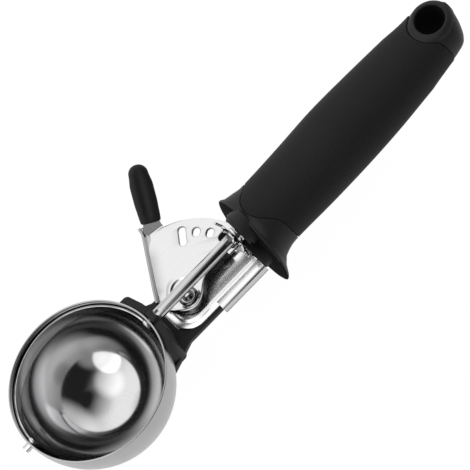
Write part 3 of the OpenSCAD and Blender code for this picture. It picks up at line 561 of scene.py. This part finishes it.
# Thumb lever. One pressed sheet with turned-up edges, a sector with five punched slots that
# drive the star wheel, a raised ring round the pivot and a tab folded up for the thumb. Its
# outlines are in millimetres from the pivot.
mm = 0.001
lever_top, sheet_t = -0.0074375, 0.001
sector_r, slot_pitch, slot_w, edge_high = 31.5, 12.5, 2.9, 2.93
tail, fold_left, fold_right = Vector((-10.4, 7.2)), Vector((3.9, 31.8)), Vector((12.3, 30.3))
hub_bends = [Vector(p) for p in ((21.6, 0.3), (18, 0.3), (14, 0.25), (11.5, 0), (9.4, -0.7),
    (7.8, -1.7), (6.5, -2.8), (5.4, -3.9), (4.2, -4.9), (2.8, -5.7), (1.4, -6.2), (0, -6.35),
    (-1.5, -6.15), (-3, -5.5), (-4.4, -4.5), (-5.7, -3.2), (-6.9, -1.7), (-7.9, -0.1),
    (-8.8, 1.7), (-9.6, 3.8), (-10.1, 5.6))]


def along_line(start, end, count):
    """Points from start towards end, which isn't one of them."""
    return [start + (end - start) * k / count for k in range(count)]


def neighbours(table, k):
    """The four rows of a table round the gap that follows row k."""
    return [table[min(max(k + i, 0), len(table) - 1)] for i in (-1, 0, 1, 2)]


def eased(p, q, r, s, f):
    """A smooth curve's value at the share f from q to r, where p comes before and s after."""
    return q + 0.5 * f * (r - p + f * (2 * p - 5 * q + 4 * r - s + f * (3 * (q - r) + s - p)))


hub_side = [eased(*neighbours(hub_bends, k), f) for k in range(len(hub_bends) - 1)
    for f in (0, 0.34, 0.67)] + [hub_bends[-1]]

outline = along_line(Vector((sector_r, 0.3)), hub_side[0], 5) + hub_side
outline += along_line(tail, fold_left, 14) + along_line(fold_left, fold_right, 5) + [fold_right]
outline += [Vector((sector_r * cos(radians(a)), sector_r * sin(radians(a))))
    for a in [67.9 - 1.7 * k for k in range(40)]]


def drawn_in(points, inset, closed=True):
    """A clockwise line of points in plan, moved to its inner side."""
    moved = []
    for k, point in enumerate(points):
        before = points[k - 1] if closed or k else point
        after = points[(k + 1) % len(points)] if closed or k + 1 < len(points) else point
        way = (after - before).normalized()
        moved.append(point + Vector((way.y, -way.x)) * inset)
    return moved


def on_lever(point, height):
    """A point of the lever's plan, at a height over its top face."""
    return Vector((pivot_at[0] + point.x * mm, point.y * mm, lever_top + height * mm))


def obround(centre, way, length, width, height, steps=16):
    """A ring with two straight sides and two half-round ends, which lies along way."""
    side = Vector((-way.y, way.x))
    ring = []
    for end, start in ((1, -90), (-1, 90)):
        middle = centre + way * end * (length - width) / 2
        ring += [on_lever(middle + (way * cos(a) + side * sin(a)) * width / 2, height)
            for a in [radians(start + 180 * k / steps) for k in range(steps + 1)]]
    return ring


def combined(piece, way, tool):
    """Joins a piece to a closed tool or cuts it with one, and removes the tool."""
    shaping = piece.modifiers.new("shaping", "BOOLEAN")
    shaping.operation, shaping.object, shaping.solver = way, tool, "EXACT"
    pick(piece)
    bpy.ops.object.modifier_apply(modifier="shaping")
    bpy.data.objects.remove(tool)


sheet = lofted("lever_flat", [[on_lever(p, height) for p in drawn_in(outline, inset)]
    for inset, height in ((0.5, -1), (0.2, -1), (0.05, -0.95), (0, -0.8), (0, -0.2),
        (0.06, -0.06), (0.2, 0), (0.5, 0))])
cutters = []
for k in range(5):
    a = radians((k + 0.5) * slot_pitch - 1.2)
    way = Vector((cos(a), sin(a)))
    slot_middle, slot_long = (24.9, 7.8) if k == 4 else (25.8, 3.7)
    cutters.append(lofted("slot_cutter", [obround(way * slot_middle, way, slot_long + 2 * grow,
        slot_w + 2 * grow, height) for grow, height in ((0, -1.4), (0, -0.4), (0.03, -0.25),
            (0.1, -0.12), (0.2, -0.03), (0.32, 0.012), (0.5, 0.2))]))
hole_side = [(0.00256, lever_top - 0.002), (0.00256, lever_top + 0.001)]
cutters.append(turned("hole_cutter", hole_side, pivot_at))
combined(sheet, "DIFFERENCE", joined("lever_cutters", cutters))
left_way = (fold_left - tail).normalized()
left_in = Vector((left_way.y, -left_way.x))

# The sheet is cut into narrow bands along its left edge, where it rises softly to the edge.
rise, rise_w, rise_end = 1.25, 7, 28
bpy.ops.object.mode_set(mode="EDIT")
for k in range(1, 11):
    bpy.ops.mesh.select_all(action="SELECT")
    bpy.ops.mesh.bisect(plane_co=on_lever(tail + left_in * 0.7 * k, 0), plane_no=(*left_in, 0))
for k in range(1, 12):
    bpy.ops.mesh.select_all(action="SELECT")
    bpy.ops.mesh.bisect(plane_co=on_lever(tail + left_way * 2.4 * k, 0), plane_no=(*left_way, 0))
bpy.ops.object.mode_set(mode="OBJECT")
for corner in sheet.data.vertices:
    at = Vector((corner.co.x / mm - pivot_at[0] / mm, corner.co.y / mm)) - tail
    deep, up = max(at.dot(left_in), 0), at.dot(left_way)
    if deep < rise_w and -1 < up < rise_end:
        fade = min(max(up / 5, 0), 1) * min(max((rise_end - up) / 7, 0), 1)
        corner.co.z += mm * rise * ((rise_w - deep) / rise_w) ** 2 * fade * fade * (3 - 2 * fade)
smoothed(sheet, 35)


def edge_strip(name, line, section, heights, lifts):
    """A turned-up edge that follows a line. The section is depth and height, from its foot.
    Heights are shares of the full height, and lifts raise the foot."""
    lines = {depth: drawn_in(line, depth, False) for depth, height in section}
    rings = []
    for k, (share, lift) in enumerate(zip(heights, lifts)):
        top = edge_high * share
        squeeze = (top + 1 - lift) / (top + 1)
        rings.append([on_lever(lines[depth][k],
            top - (top - (height * share if height > 0 else height)) * squeeze)
            for depth, height in section])
    return smoothed(lofted(name, rings), 50)


up_tab = Vector((fold_left.y - fold_right.y, fold_right.x - fold_left.x)).normalized()
left_line = along_line(tail, fold_left - left_way * 1.5, 10)
left_line += [fold_left + left_way * past for past in (-1.5, -0.5)]
left_line += [fold_left + up_tab * past for past in (0.5, 1.3, 2.1, 2.8)]
left_section = [(0, -1), (0, 2.7), (0.05, 2.85), (0.18, edge_high), (0.8, edge_high), (0.95, 2.85),
    (1, 2.7), (1, 1.5), (1.08, 1), (1.3, 0.6), (1.7, 0.3), (2.3, 0.1), (2.9, -0.1), (2.9, -0.9)]
left_edge = edge_strip("lever_left_edge", left_line, left_section, [0.8, 0.93] + [1] * 14,
    [0] * 12 + [0.2, 1, 1.85, 2.6])
right_section = [(0, -1), (0, 2.7), (0.05, 2.85), (0.15, edge_high), (0.75, edge_high),
    (0.85, 2.85), (0.9, 2.7), (0.9, -0.9)]
bend_shares = [0.97, 1, 1, 1, 1, 0.98, 0.95, 0.92, 0.9, 0.88, 0.87, 0.86, 0.85, 0.84, 0.82, 0.79,
    0.75, 0.7, 0.62, 0.5, 0.35]
right_shares = [a + (b - a) * j / 3 for a, b in zip(bend_shares, bend_shares[1:])
    for j in range(3)] + bend_shares[-1:]
right_edge = edge_strip("lever_right_edge", hub_side, right_section, right_shares,
    [0] * len(hub_side))
ridge_r, ridge_middle, ridge_rings = 5.5, Vector((0.3, 3.5)), []
for k in range(41):
    a = radians(-15 + 210 * k / 40)
    way = Vector((cos(a), sin(a)))
    high = 0.5 * max(sin(pi * k / 40), 0.001) ** 0.5
    ridge_rings.append([on_lever(ridge_middle + way * (ridge_r + (1.1 if w < 0 else 2.6) * w),
        high * (0.5 + 0.5 * cos(pi * w)) - 0.01) for w in [j / 8 for j in range(-8, 9)]]
        + [on_lever(ridge_middle + way * (ridge_r + w), -0.5) for w in (2.4, -1)])
ridge = smoothed(lofted("lever_ridge", ridge_rings), 60)

# The tab bends up from the sheet in a soft curve and leans over under the pad. Each of its
# rings has four corners at the left edge and four at the right.
tab_rise, pad_lean, tab_half_w = radians(46), radians(22.8), 4.15
pad_start, pad_length, pad_side = 0.00425, 0.0228, -0.0002
fold_dir = atan2(fold_right.y - fold_left.y, fold_right.x - fold_left.x)
fold_mid = (fold_left + fold_right) / 2
fold_frame = (Matrix.Translation((pivot_at[0] + fold_mid.x * mm, fold_mid.y * mm, lever_top))
    @ Matrix.Rotation(fold_dir, 4, "Z"))
tab_frame = (fold_frame @ Matrix.Translation((0, -0.00012, 0.00006 - sheet_t))
    @ Matrix.Rotation(tab_rise, 4, "X"))
pad_frame = (tab_frame @ Matrix.Rotation(-pad_lean, 4, "Z")
    @ Matrix.Translation((pad_side, 0, sheet_t / 2)))


def tab_ring(left, right):
    """A cross-section of the tab, from its left to its right edge in the tab's frame."""
    ring = []
    for x, y in (left, right):
        tuck = 0.15 if x < right[0] else -0.15
        low, high = [(x + tuck, y, 0.0), (x, y, 0.15)], [(x, y, 0.85), (x + tuck, y, 1.0)]
        ring += low + high if tuck > 0 else high[::-1] + low[::-1]
    return [tab_frame @ (Vector(p) * mm) for p in ring]


curl_y, curl_z, curl_r = -1.24, 1.485, 1.5
tab_rings = []
for start_y, a in [(-2.2, 0), (-1.7, 0)] + [(curl_y, tab_rise * k / 8) for k in range(9)]:
    ring = []
    for x, side in ((-tab_half_w, 1), (tab_half_w, -1)):
        column = []
        for edge, deep in ((0.15, 0.0), (0, 0.15), (0, 0.85), (0.15, 1.0)):
            r = curl_r + 1 - deep
            column.append(fold_frame @ (Vector((x + side * edge, start_y + r * sin(a),
                curl_z - r * cos(a))) * mm))
        ring += column if side > 0 else column[::-1]
    tab_rings.append(ring)
tab_rings += [tab_ring((-tab_half_w + 3.05 * f, 0.98 + 4.96 * f),
    (tab_half_w + 0.5 * f, 0.98 + 2.55 * f)) for f in (0.25, 0.5, 0.75, 1)]
tab_rings += [tab_ring((0.1, 7.6), (4.7, 5.6)), tab_ring((1.5, 11), (6.1, 9.0))]
tab = smoothed(lofted("lever_tab", tab_rings), 40)
lug_turn, lug_r, lug_out = radians(95), 0.0009, 0.0085
lug = turned("lever_lug", [(lug_r, lever_top - 0.00185), (lug_r, lever_top - 0.0005)],
    (pivot_at[0] + lug_out * cos(lug_turn), lug_out * sin(lug_turn), 0), 24)
# Duller grey steel for the punched slot walls, and also painted shade on the high tops along the
# left edge.
cut_edge_and_shade = sheet_steel("punched_edge_and_shade", (0.36, 0.36, 0.365), (0.3, 0.45),
    (400, 400, 1600), 0.000001)
lever = joined("lever_sheet", [sheet, left_edge, right_edge, ridge, tab, lug])
hand_in(lever, "lever_plate", "lever", bright_sheet, painted_shade_steel, cut_edge_and_shade)
# Painted shade: upright faces on the pivot's side get the dark steel, and the high upward faces
# along the left edge get the grey.
for face in lever.data.polygons:
    at = Vector((face.center.x - pivot_at[0], face.center.y)) / mm
    high, flatness = face.center.z - lever_top, face.normal.z
    slot_wall = 20.5 < at.length < 30 and at.y > 1 and high < -0.00001 and abs(flatness) < 0.97
    painted_shade_top = flatness > 0.6 and high > 0.0021 and (at - tail).dot(left_in) < 1.2
    painted_shade_side = abs(flatness) < 0.5 and at.y < 0.5 and at.x < 22 and at.length < 23
    face.material_index = 2 if slot_wall or painted_shade_top else (1 if painted_shade_side else 0)

# Thumb pad. A soft black cap moulded over the tab's end, with a shallow valley down its face
# and a round tip. The tab's left edge comes out of it low on that side.
fine_grain, given, result = shader_group("fine_grain", "Grains", "NodeSocketFloat",
    "Height", "Specks", "Patches")
tree = fine_grain
where = tree.nodes.new("ShaderNodeTexCoord").outputs["Object"]
pebbles = tree.nodes.new("ShaderNodeTexVoronoi")
tree.links.new(where, pebbles.inputs["Vector"])
specks = noise(tree, where, 1)
for texture in (pebbles, specks.node):
    tree.links.new(given.outputs["Grains"], texture.inputs["Scale"])
tree.links.new(pebbles.outputs["Distance"], result.inputs["Height"])
tree.links.new(specks, result.inputs["Specks"])
tree.links.new(noise(tree, where, 90), result.inputs["Patches"])


def moulded(name, colour, rough, gloss, grains, depth, contrast):
    """Moulded plastic or rubber, with fine grains and specks, and worn in patches."""
    stuff, tree, shader, grain = marked(name, fine_grain, "Grains", grains)
    shader.inputs["Specular IOR Level"].default_value = gloss
    tint = tinted(tree, grain.outputs["Specks"], [c * (1 - contrast) for c in colour],
        [c * (1 + contrast) for c in colour])
    surfaced(tree, shader, tint, grain.outputs["Patches"], rough, grain.outputs["Height"], depth)
    return stuff


def pad_half_width(along):
    """Half the pad's width at a distance along it from its base."""
    tip_r = 0.00374
    widths = ((0, 0.00392), (0.004, 0.00418), (0.008, 0.00442), (0.0142, 0.00443),
        (0.0192, 0.0038))
    if along > pad_length - tip_r:
        return sqrt(max(tip_r ** 2 - (along - pad_length + tip_r) ** 2, 1e-9)) * 1.01
    for (a, low), (b, high) in zip(widths, widths[1:]):
        if along <= b:
            f = (along - a) / (b - a)
            return low + (high - low) * f * f * (3 - 2 * f)


def pad_ring(along, shrink=0.0, steps=56):
    """A cross-section of the pad. Its thickness falls away in a round over the last stretch."""
    full_half_t, round_off = 0.002, 0.0026
    half_w = pad_half_width(along) - shrink
    past = max((along - pad_length + round_off) / round_off, 0)
    half_t = full_half_t * sqrt(max(1 - past ** 2, 0.002)) - shrink * 0.8
    ring = []
    for k in range(steps):
        a = 2 * pi * k / steps
        c, s = cos(a), sin(a)
        x = half_w * (abs(c) ** 0.8) * (1 if c > 0 else -1)
        z = half_t * (abs(s) ** 0.75) * (1 if s > 0 else -1)
        if s > 0:
            fade = min(along / 0.004, 1) * min((pad_length - along) / 0.006, 1)
            z -= 0.00055 * max(exp(-((x + 0.0004) / 0.0013) ** 2) * fade, 0)
        ring.append(pad_frame @ Vector((x, pad_start + along, z)))
    return ring


pad_rings = [pad_ring(*place) for place in ((0, 0.0007), (0.00004, 0.0004), (0.00016, 0.00016),
    (0.0004, 0.00004))]
pad_rings += [pad_ring(0.0008 + 0.0178 * k / 18) for k in range(19)]
pad_rings += [pad_ring(pad_length - 0.0043 + 0.0043 * sin(radians(90) * k / 12))
    for k in range(1, 12)]
pad_rings.append(pad_ring(pad_length - 0.00001))
pad_black = moulded("pad_soft_black", (0.019, 0.019, 0.0195), (0.5, 0.6), 0.2, 3000, 0.000006, 0.3)
pad = smoothed(lofted("thumb_pad_rubber", pad_rings), 60)
hand_in(pad, "thumb_pad", "lever", pad_black)

# Handle. The hard front part flares into a finger guard in front of the grip and carries the
# shaft's rear bearing. The grip is a thick soft sleeve, and a hard cap ends it.
guard_low, guard_x1, boss_low, core_x1 = -21.9, 81, -6.78, 168
sleeve_t, sleeve_fit, seam_gap = 2.6, 0.08, 0.2
seam_low_x, seam_top_x, front_x1, rear_x0, cap_x0 = 91.5, 84.3, 100, 165, 184
hole_x, hole_r, hole_top, soft_top, hole_shade_top = 181.5, 5.9, 8.3, 0.6, 7.5
turns = [2 * pi * k / 96 for k in range(96)]

# Its sections, in millimetres: the place on the axis, half the width, half the height, the
# middle's height and, for the guard, how far it leans back for its height.
sections = ((81, 16.5, 15.3, -9.0), (82.8, 15.4, 14.3, -7.5), (84.7, 14.8, 13.8, -6.9),
    (88.3, 14.1, 13.1, -6.6), (93, 14.0, 12.9, -6.4), (110, 14.4, 13.2, -6.0),
    (128, 14.7, 13.5, -4.9), (146, 14.2, 13.0, -4.3), (165, 13.1, 12.0, -3.3),
    (173, 12.1, 11.2, -2.7), (179, 11.6, 11.0, -1.9), (183.5, 10.9, 10.3, -1.0),
    (185.5, 9.9, 9.8, -0.6), (187.3, 7.9, 8.9, 0.2), (189, 5, 6.4, 2.0), (190.2, 2, 2.6, 4.8))
guard_sections = ((77.45, 17.6, 16.5, -12.2, 0.15), (77.55, 18.4, 17.3, -12.2, 0.15),
    (77.9, 19.1, 18.0, -12.2, 0.15), (78.8, 18.7, 17.5, -11.75, 0.14),
    (79.9, 17.5, 16.3, -10.4, 0.12), (81, 16.5, 15.3, -9.0, 0.1))


def through_points(table, x):
    """Values of a table at x, on a smooth curve through its rows."""
    k = max(i for i in range(len(table) - 1) if i == 0 or table[i][0] <= x)
    rows = neighbours(table, k)
    f = (x - rows[1][0]) / (rows[2][0] - rows[1][0])
    return [eased(*column, f) for column in zip(*[row[1:] for row in rows])]


def squared(c):
    """A cosine or sine on an outline that is a little squarer than an oval."""
    return abs(c) ** (2 / 2.15) * (1 if c > 0 else -1)


def grip_point(x, angle, inset=0.0, lean=0.0):
    """A point of the grip's skin, or below it by inset."""
    half_w, half_h, middle = through_points(sections, x)
    z = middle + (half_h - inset) * squared(sin(angle))
    return Vector((x + lean * (z - guard_low), (half_w - inset) * squared(cos(angle)), z)) * mm


def front_seam(angle, inset=0.0):
    """Where the hard front part ends: level below, and in a lobe towards the guard on top."""
    if angle > pi:
        return seam_low_x
    y = (through_points(sections, 88.5)[0] - inset) * abs(squared(cos(angle)))
    lobe = 0.5 - 0.5 * cos(pi * min(y / 12.6, 1) ** 1.3)
    return seam_top_x + (seam_low_x - seam_top_x) * lobe


def rear_seam(angle, inset=0.0):
    """Where the end cap begins: straight across, and round the hole in a lobe."""
    lobe, line = hole_r + 3.1, hole_x - 2.5
    y = (through_points(sections, line - 3)[0] - inset) * abs(squared(cos(angle)))
    bend_y = lobe * 0.8
    bend_x = hole_x - sqrt(lobe ** 2 - bend_y ** 2)
    if y < bend_y:
        return hole_x - sqrt(lobe ** 2 - y ** 2)
    return line - (line - bend_x) * exp((bend_y - y) * bend_y / (hole_x - bend_x) / (line - bend_x))


guard_rings = []
for x in (77.45, 77.48, 77.55, 77.7, 77.9, 78.15, 78.45, 78.8, 79.15, 79.5, 79.9, 80.3, 80.65):
    half_w, half_h, middle, lean = through_points(guard_sections, x)
    guard_rings.append([Vector((x + lean * (middle + half_h * squared(sin(a)) - guard_low),
        half_w * squared(cos(a)), middle + half_h * squared(sin(a)))) * mm for a in turns])
guard_rings += [[grip_point(guard_x1 + (front_seam(a) - guard_x1) * f, a, 0, 0.1 * (1 - f))
    for a in turns] for f in (0, 0.1, 0.2, 0.3, 0.4, 0.5, 0.6, 0.7, 0.8, 0.9, 0.96)]
guard_rings += [[grip_point(front_seam(a) - back, a, inset) for a in turns]
    for back, inset in ((0.12, 0.02), (0.04, 0.08), (0, 0.2), (0, sleeve_t))]
guard_rings += [[grip_point(x + (front_seam(a) - front_x1) * f, a, sleeve_t) for a in turns]
    for x, f in ((front_x1, 0.5), (front_x1, 0), (128, 0), (146, 0), (core_x1, 0))]
front_parts = [smoothed(lofted("handle_front", guard_rings), 50)]


def nose_ring(x, inset):
    """Half an oval under the lever's plane, at place x."""
    top, half_w, depth = -9.0875 - inset, 12.3 - inset, 9.11 - 2 * inset
    return [Vector((x, half_w * (abs(cos(a)) ** 0.8) * (1 if cos(a) > 0 else -1),
        top - depth * abs(sin(a)) ** 0.8)) * mm for a in [pi + pi * k / 40 for k in range(41)]]


front_parts.append(smoothed(lofted("handle_nose", [nose_ring(*place) for place in (
    (75.5, 0.5), (75.55, 0.3), (75.7, 0.1), (75.95, 0), (78, 0), (84, 0))]), 50))
for r_front, r_back, x0, x1 in ((6.5, 6.5, 77.3, 83.3), (7.3, 6.6, 78.6, 83.3)):
    rings = []
    for x, shrink in ((x0, 0.35), (x0 + 0.03, 0.2), (x0 + 0.12, 0.07), (x0 + 0.3, 0), (x1, 0)):
        r = r_front + (r_back - r_front) * (x - x0) / (x1 - x0) - shrink
        rings.append([Vector((x, r * cos(a), max(r * sin(a), boss_low + shrink))) * mm
            for a in turns])
    front_parts.append(smoothed(lofted("handle_boss", rings), 50))
hard_black = moulded("handle_hard_black", (0.0195, 0.0195, 0.02), (0.45, 0.55), 0.16, 2600,
    0.000006, 0.15)
# Painted shade: a darker black for the guard's front face and the inside of the cap's hole.
painted_shade_black = moulded("black_painted_shade", (0.0095, 0.0095, 0.0095), (0.8, 0.9), 0.02, 2600,
    0.000006, 0.15)
front_moulding = joined("handle_moulding", front_parts)
hand_in(front_moulding, "handle_core", "handle_frame", hard_black, painted_shade_black)
# Painted shade: the guard's front face gets the darker black.
for face in front_moulding.data.polygons:
    face.material_index = 1 if face.normal.x < -0.85 and face.center.x > 0.0773 else 0

grip_rings = [[grip_point(front_seam(a, sleeve_t) + seam_gap, a, sleeve_t - sleeve_fit)
    for a in turns]]
grip_rings += [[grip_point(front_seam(a) + ahead, a, inset) for a in turns]
    for ahead, inset in ((seam_gap, 0.45), (0.22, 0.28), (0.3, 0.12), (0.45, 0.03), (0.7, 0))]
grip_rings += [[grip_point(front_x1 + (front_seam(a) - front_x1) * f, a) for a in turns]
    for f in (0.86, 0.76, 0.64, 0.52, 0.4, 0.28, 0.14)]
grip_rings += [[grip_point(front_x1 + (rear_x0 - front_x1) * k / 26, a) for a in turns]
    for k in range(27)]
grip_rings += [[grip_point(rear_x0 + (rear_seam(a) - rear_x0) * f, a) for a in turns]
    for f in (0.2, 0.4, 0.6, 0.8, 0.92)]
grip_rings += [[grip_point(rear_seam(a) - back, a, inset) for a in turns]
    for back, inset in ((0.7, 0), (0.45, 0.03), (0.3, 0.12), (0.22, 0.28), (seam_gap, 0.45))]
grip_rings += [[grip_point(rear_seam(a, sleeve_t) - seam_gap, a, sleeve_t - sleeve_fit)
    for a in turns]]
grip_rings += [[grip_point(x, a, sleeve_t - sleeve_fit) for a in turns]
    for x in (166, 146, 128, front_x1)]
soft_black = moulded("grip_soft_black", (0.016, 0.016, 0.0165), (0.6, 0.7), 0.13, 2400,
    0.00002, 0.5)
grip = smoothed(lofted("grip_rubber", grip_rings, tube=True), 50)
hand_in(grip, "grip_sleeve", "handle_frame", soft_black)


def cap_point(x, angle, inset=0.0):
    """A point of the cap's skin, which stays under the height of the hole's rim."""
    point = grip_point(x, angle, inset)
    over = point.z - (hole_top - soft_top) * mm
    if over > 0:
        point.z -= over - soft_top * mm * (1 - exp(-over / (soft_top * mm)))
    return point


cap_rings = [[grip_point(core_x1 + 0.08, a, sleeve_t) for a in turns],
    [grip_point(rear_seam(a), a, sleeve_t) for a in turns]]
cap_rings += [[cap_point(rear_seam(a) + ahead, a, inset) for a in turns]
    for ahead, inset in ((0, 0.5), (0.05, 0.4), (0.2, 0.32))]
cap_rings += [[cap_point(rear_seam(a) + 0.2 + (cap_x0 - rear_seam(a) - 0.2) * f, a, 0.3 * (1 - f))
    for a in turns] for f in (0.2, 0.4, 0.6, 0.8, 1)]
cap_rings += [[cap_point(x, a) for a in turns] for x in (184.8, 185.5, 186.2, 186.8, 187.3, 187.8,
    188.3, 188.7, 189.1, 189.5, 189.8, 190.02, 190.14, 190.19)]
cap = lofted("end_cap_body", cap_rings)
collar_side = [(3.0, -4), (7.55, -4), (8.5, 2), (8.7, 3.5), (8.72, 5), (8.66, 5.8), (8.5, 6.5),
    (8.2, 7.15), (7.8, 7.65), (7.35, 8.0), (6.9, 8.22), (6.5, hole_top), (3.0, hole_top)]
bore_side = [(hole_r - 1.4, -30), (hole_r - 0.45, 0), (hole_r, 7.8), (hole_r + 0.05, 8.0),
    (6.08, 8.2), (6.3, 8.33), (6.6, 8.5), (6.6, 20)]
for name, side, way in (("end_cap_collar", collar_side, "UNION"),
        ("end_cap_bore", bore_side, "DIFFERENCE")):
    tool = turned(name, [(r * mm, z * mm) for r, z in side], (hole_x * mm, 0, 0), 96)
    combined(cap, way, tool)
cap.name = "end_cap_moulding"
smoothed(cap, 30)
hand_in(cap, "end_cap", "handle_frame", hard_black, painted_shade_black)
# Painted shade: the hole's wall below a height near its rim gets the darker black.
for face in cap.data.polygons:
    in_hole = hypot(face.center.x - hole_x * mm, face.center.y) < (hole_r + 0.02) * mm
    face.material_index = 1 if in_hole and face.center.z < hole_shade_top * mm else 0

# Saddle and neck. Hard black moulding that widens from the handle's nose into a saddle round
# the bowl, with the shaft's two bearing bushes. The front one has a flat top and closes in
# over the rod, in front of the tube's end.
tumbled_copy("saddle_neck", "saddle_moulding", 0.0004, hard_black, "handle_frame")
bush_x0, bush_x1, bush_r, bush_top = 31.95, 34.65, 3.4, 2.75
bush_rings = [[Vector((x, r * cos(a), min(r * sin(a), top))) * mm for a in turns]
    for x, r, top in ((bush_x0, 2.4, 9), (bush_x0, bush_r, bush_top),
        (bush_x0 + 0.15, bush_r + 0.15, bush_top + 0.15),
        (bush_x1 - 0.15, bush_r + 0.15, bush_top + 0.15), (bush_x1, bush_r, bush_top),
        (bush_x1, 2.5, 9), (bush_x1 - 0.1, 2.4, 9))]
front_bush = smoothed(lofted("front_bush_sleeve", bush_rings, tube=True), 50)
hand_in(front_bush, "front_bush", "handle_frame", hard_black)
tumbled_copy("rear_bush", "rear_bush_sleeve", 0.0001, hard_black, "handle_frame")
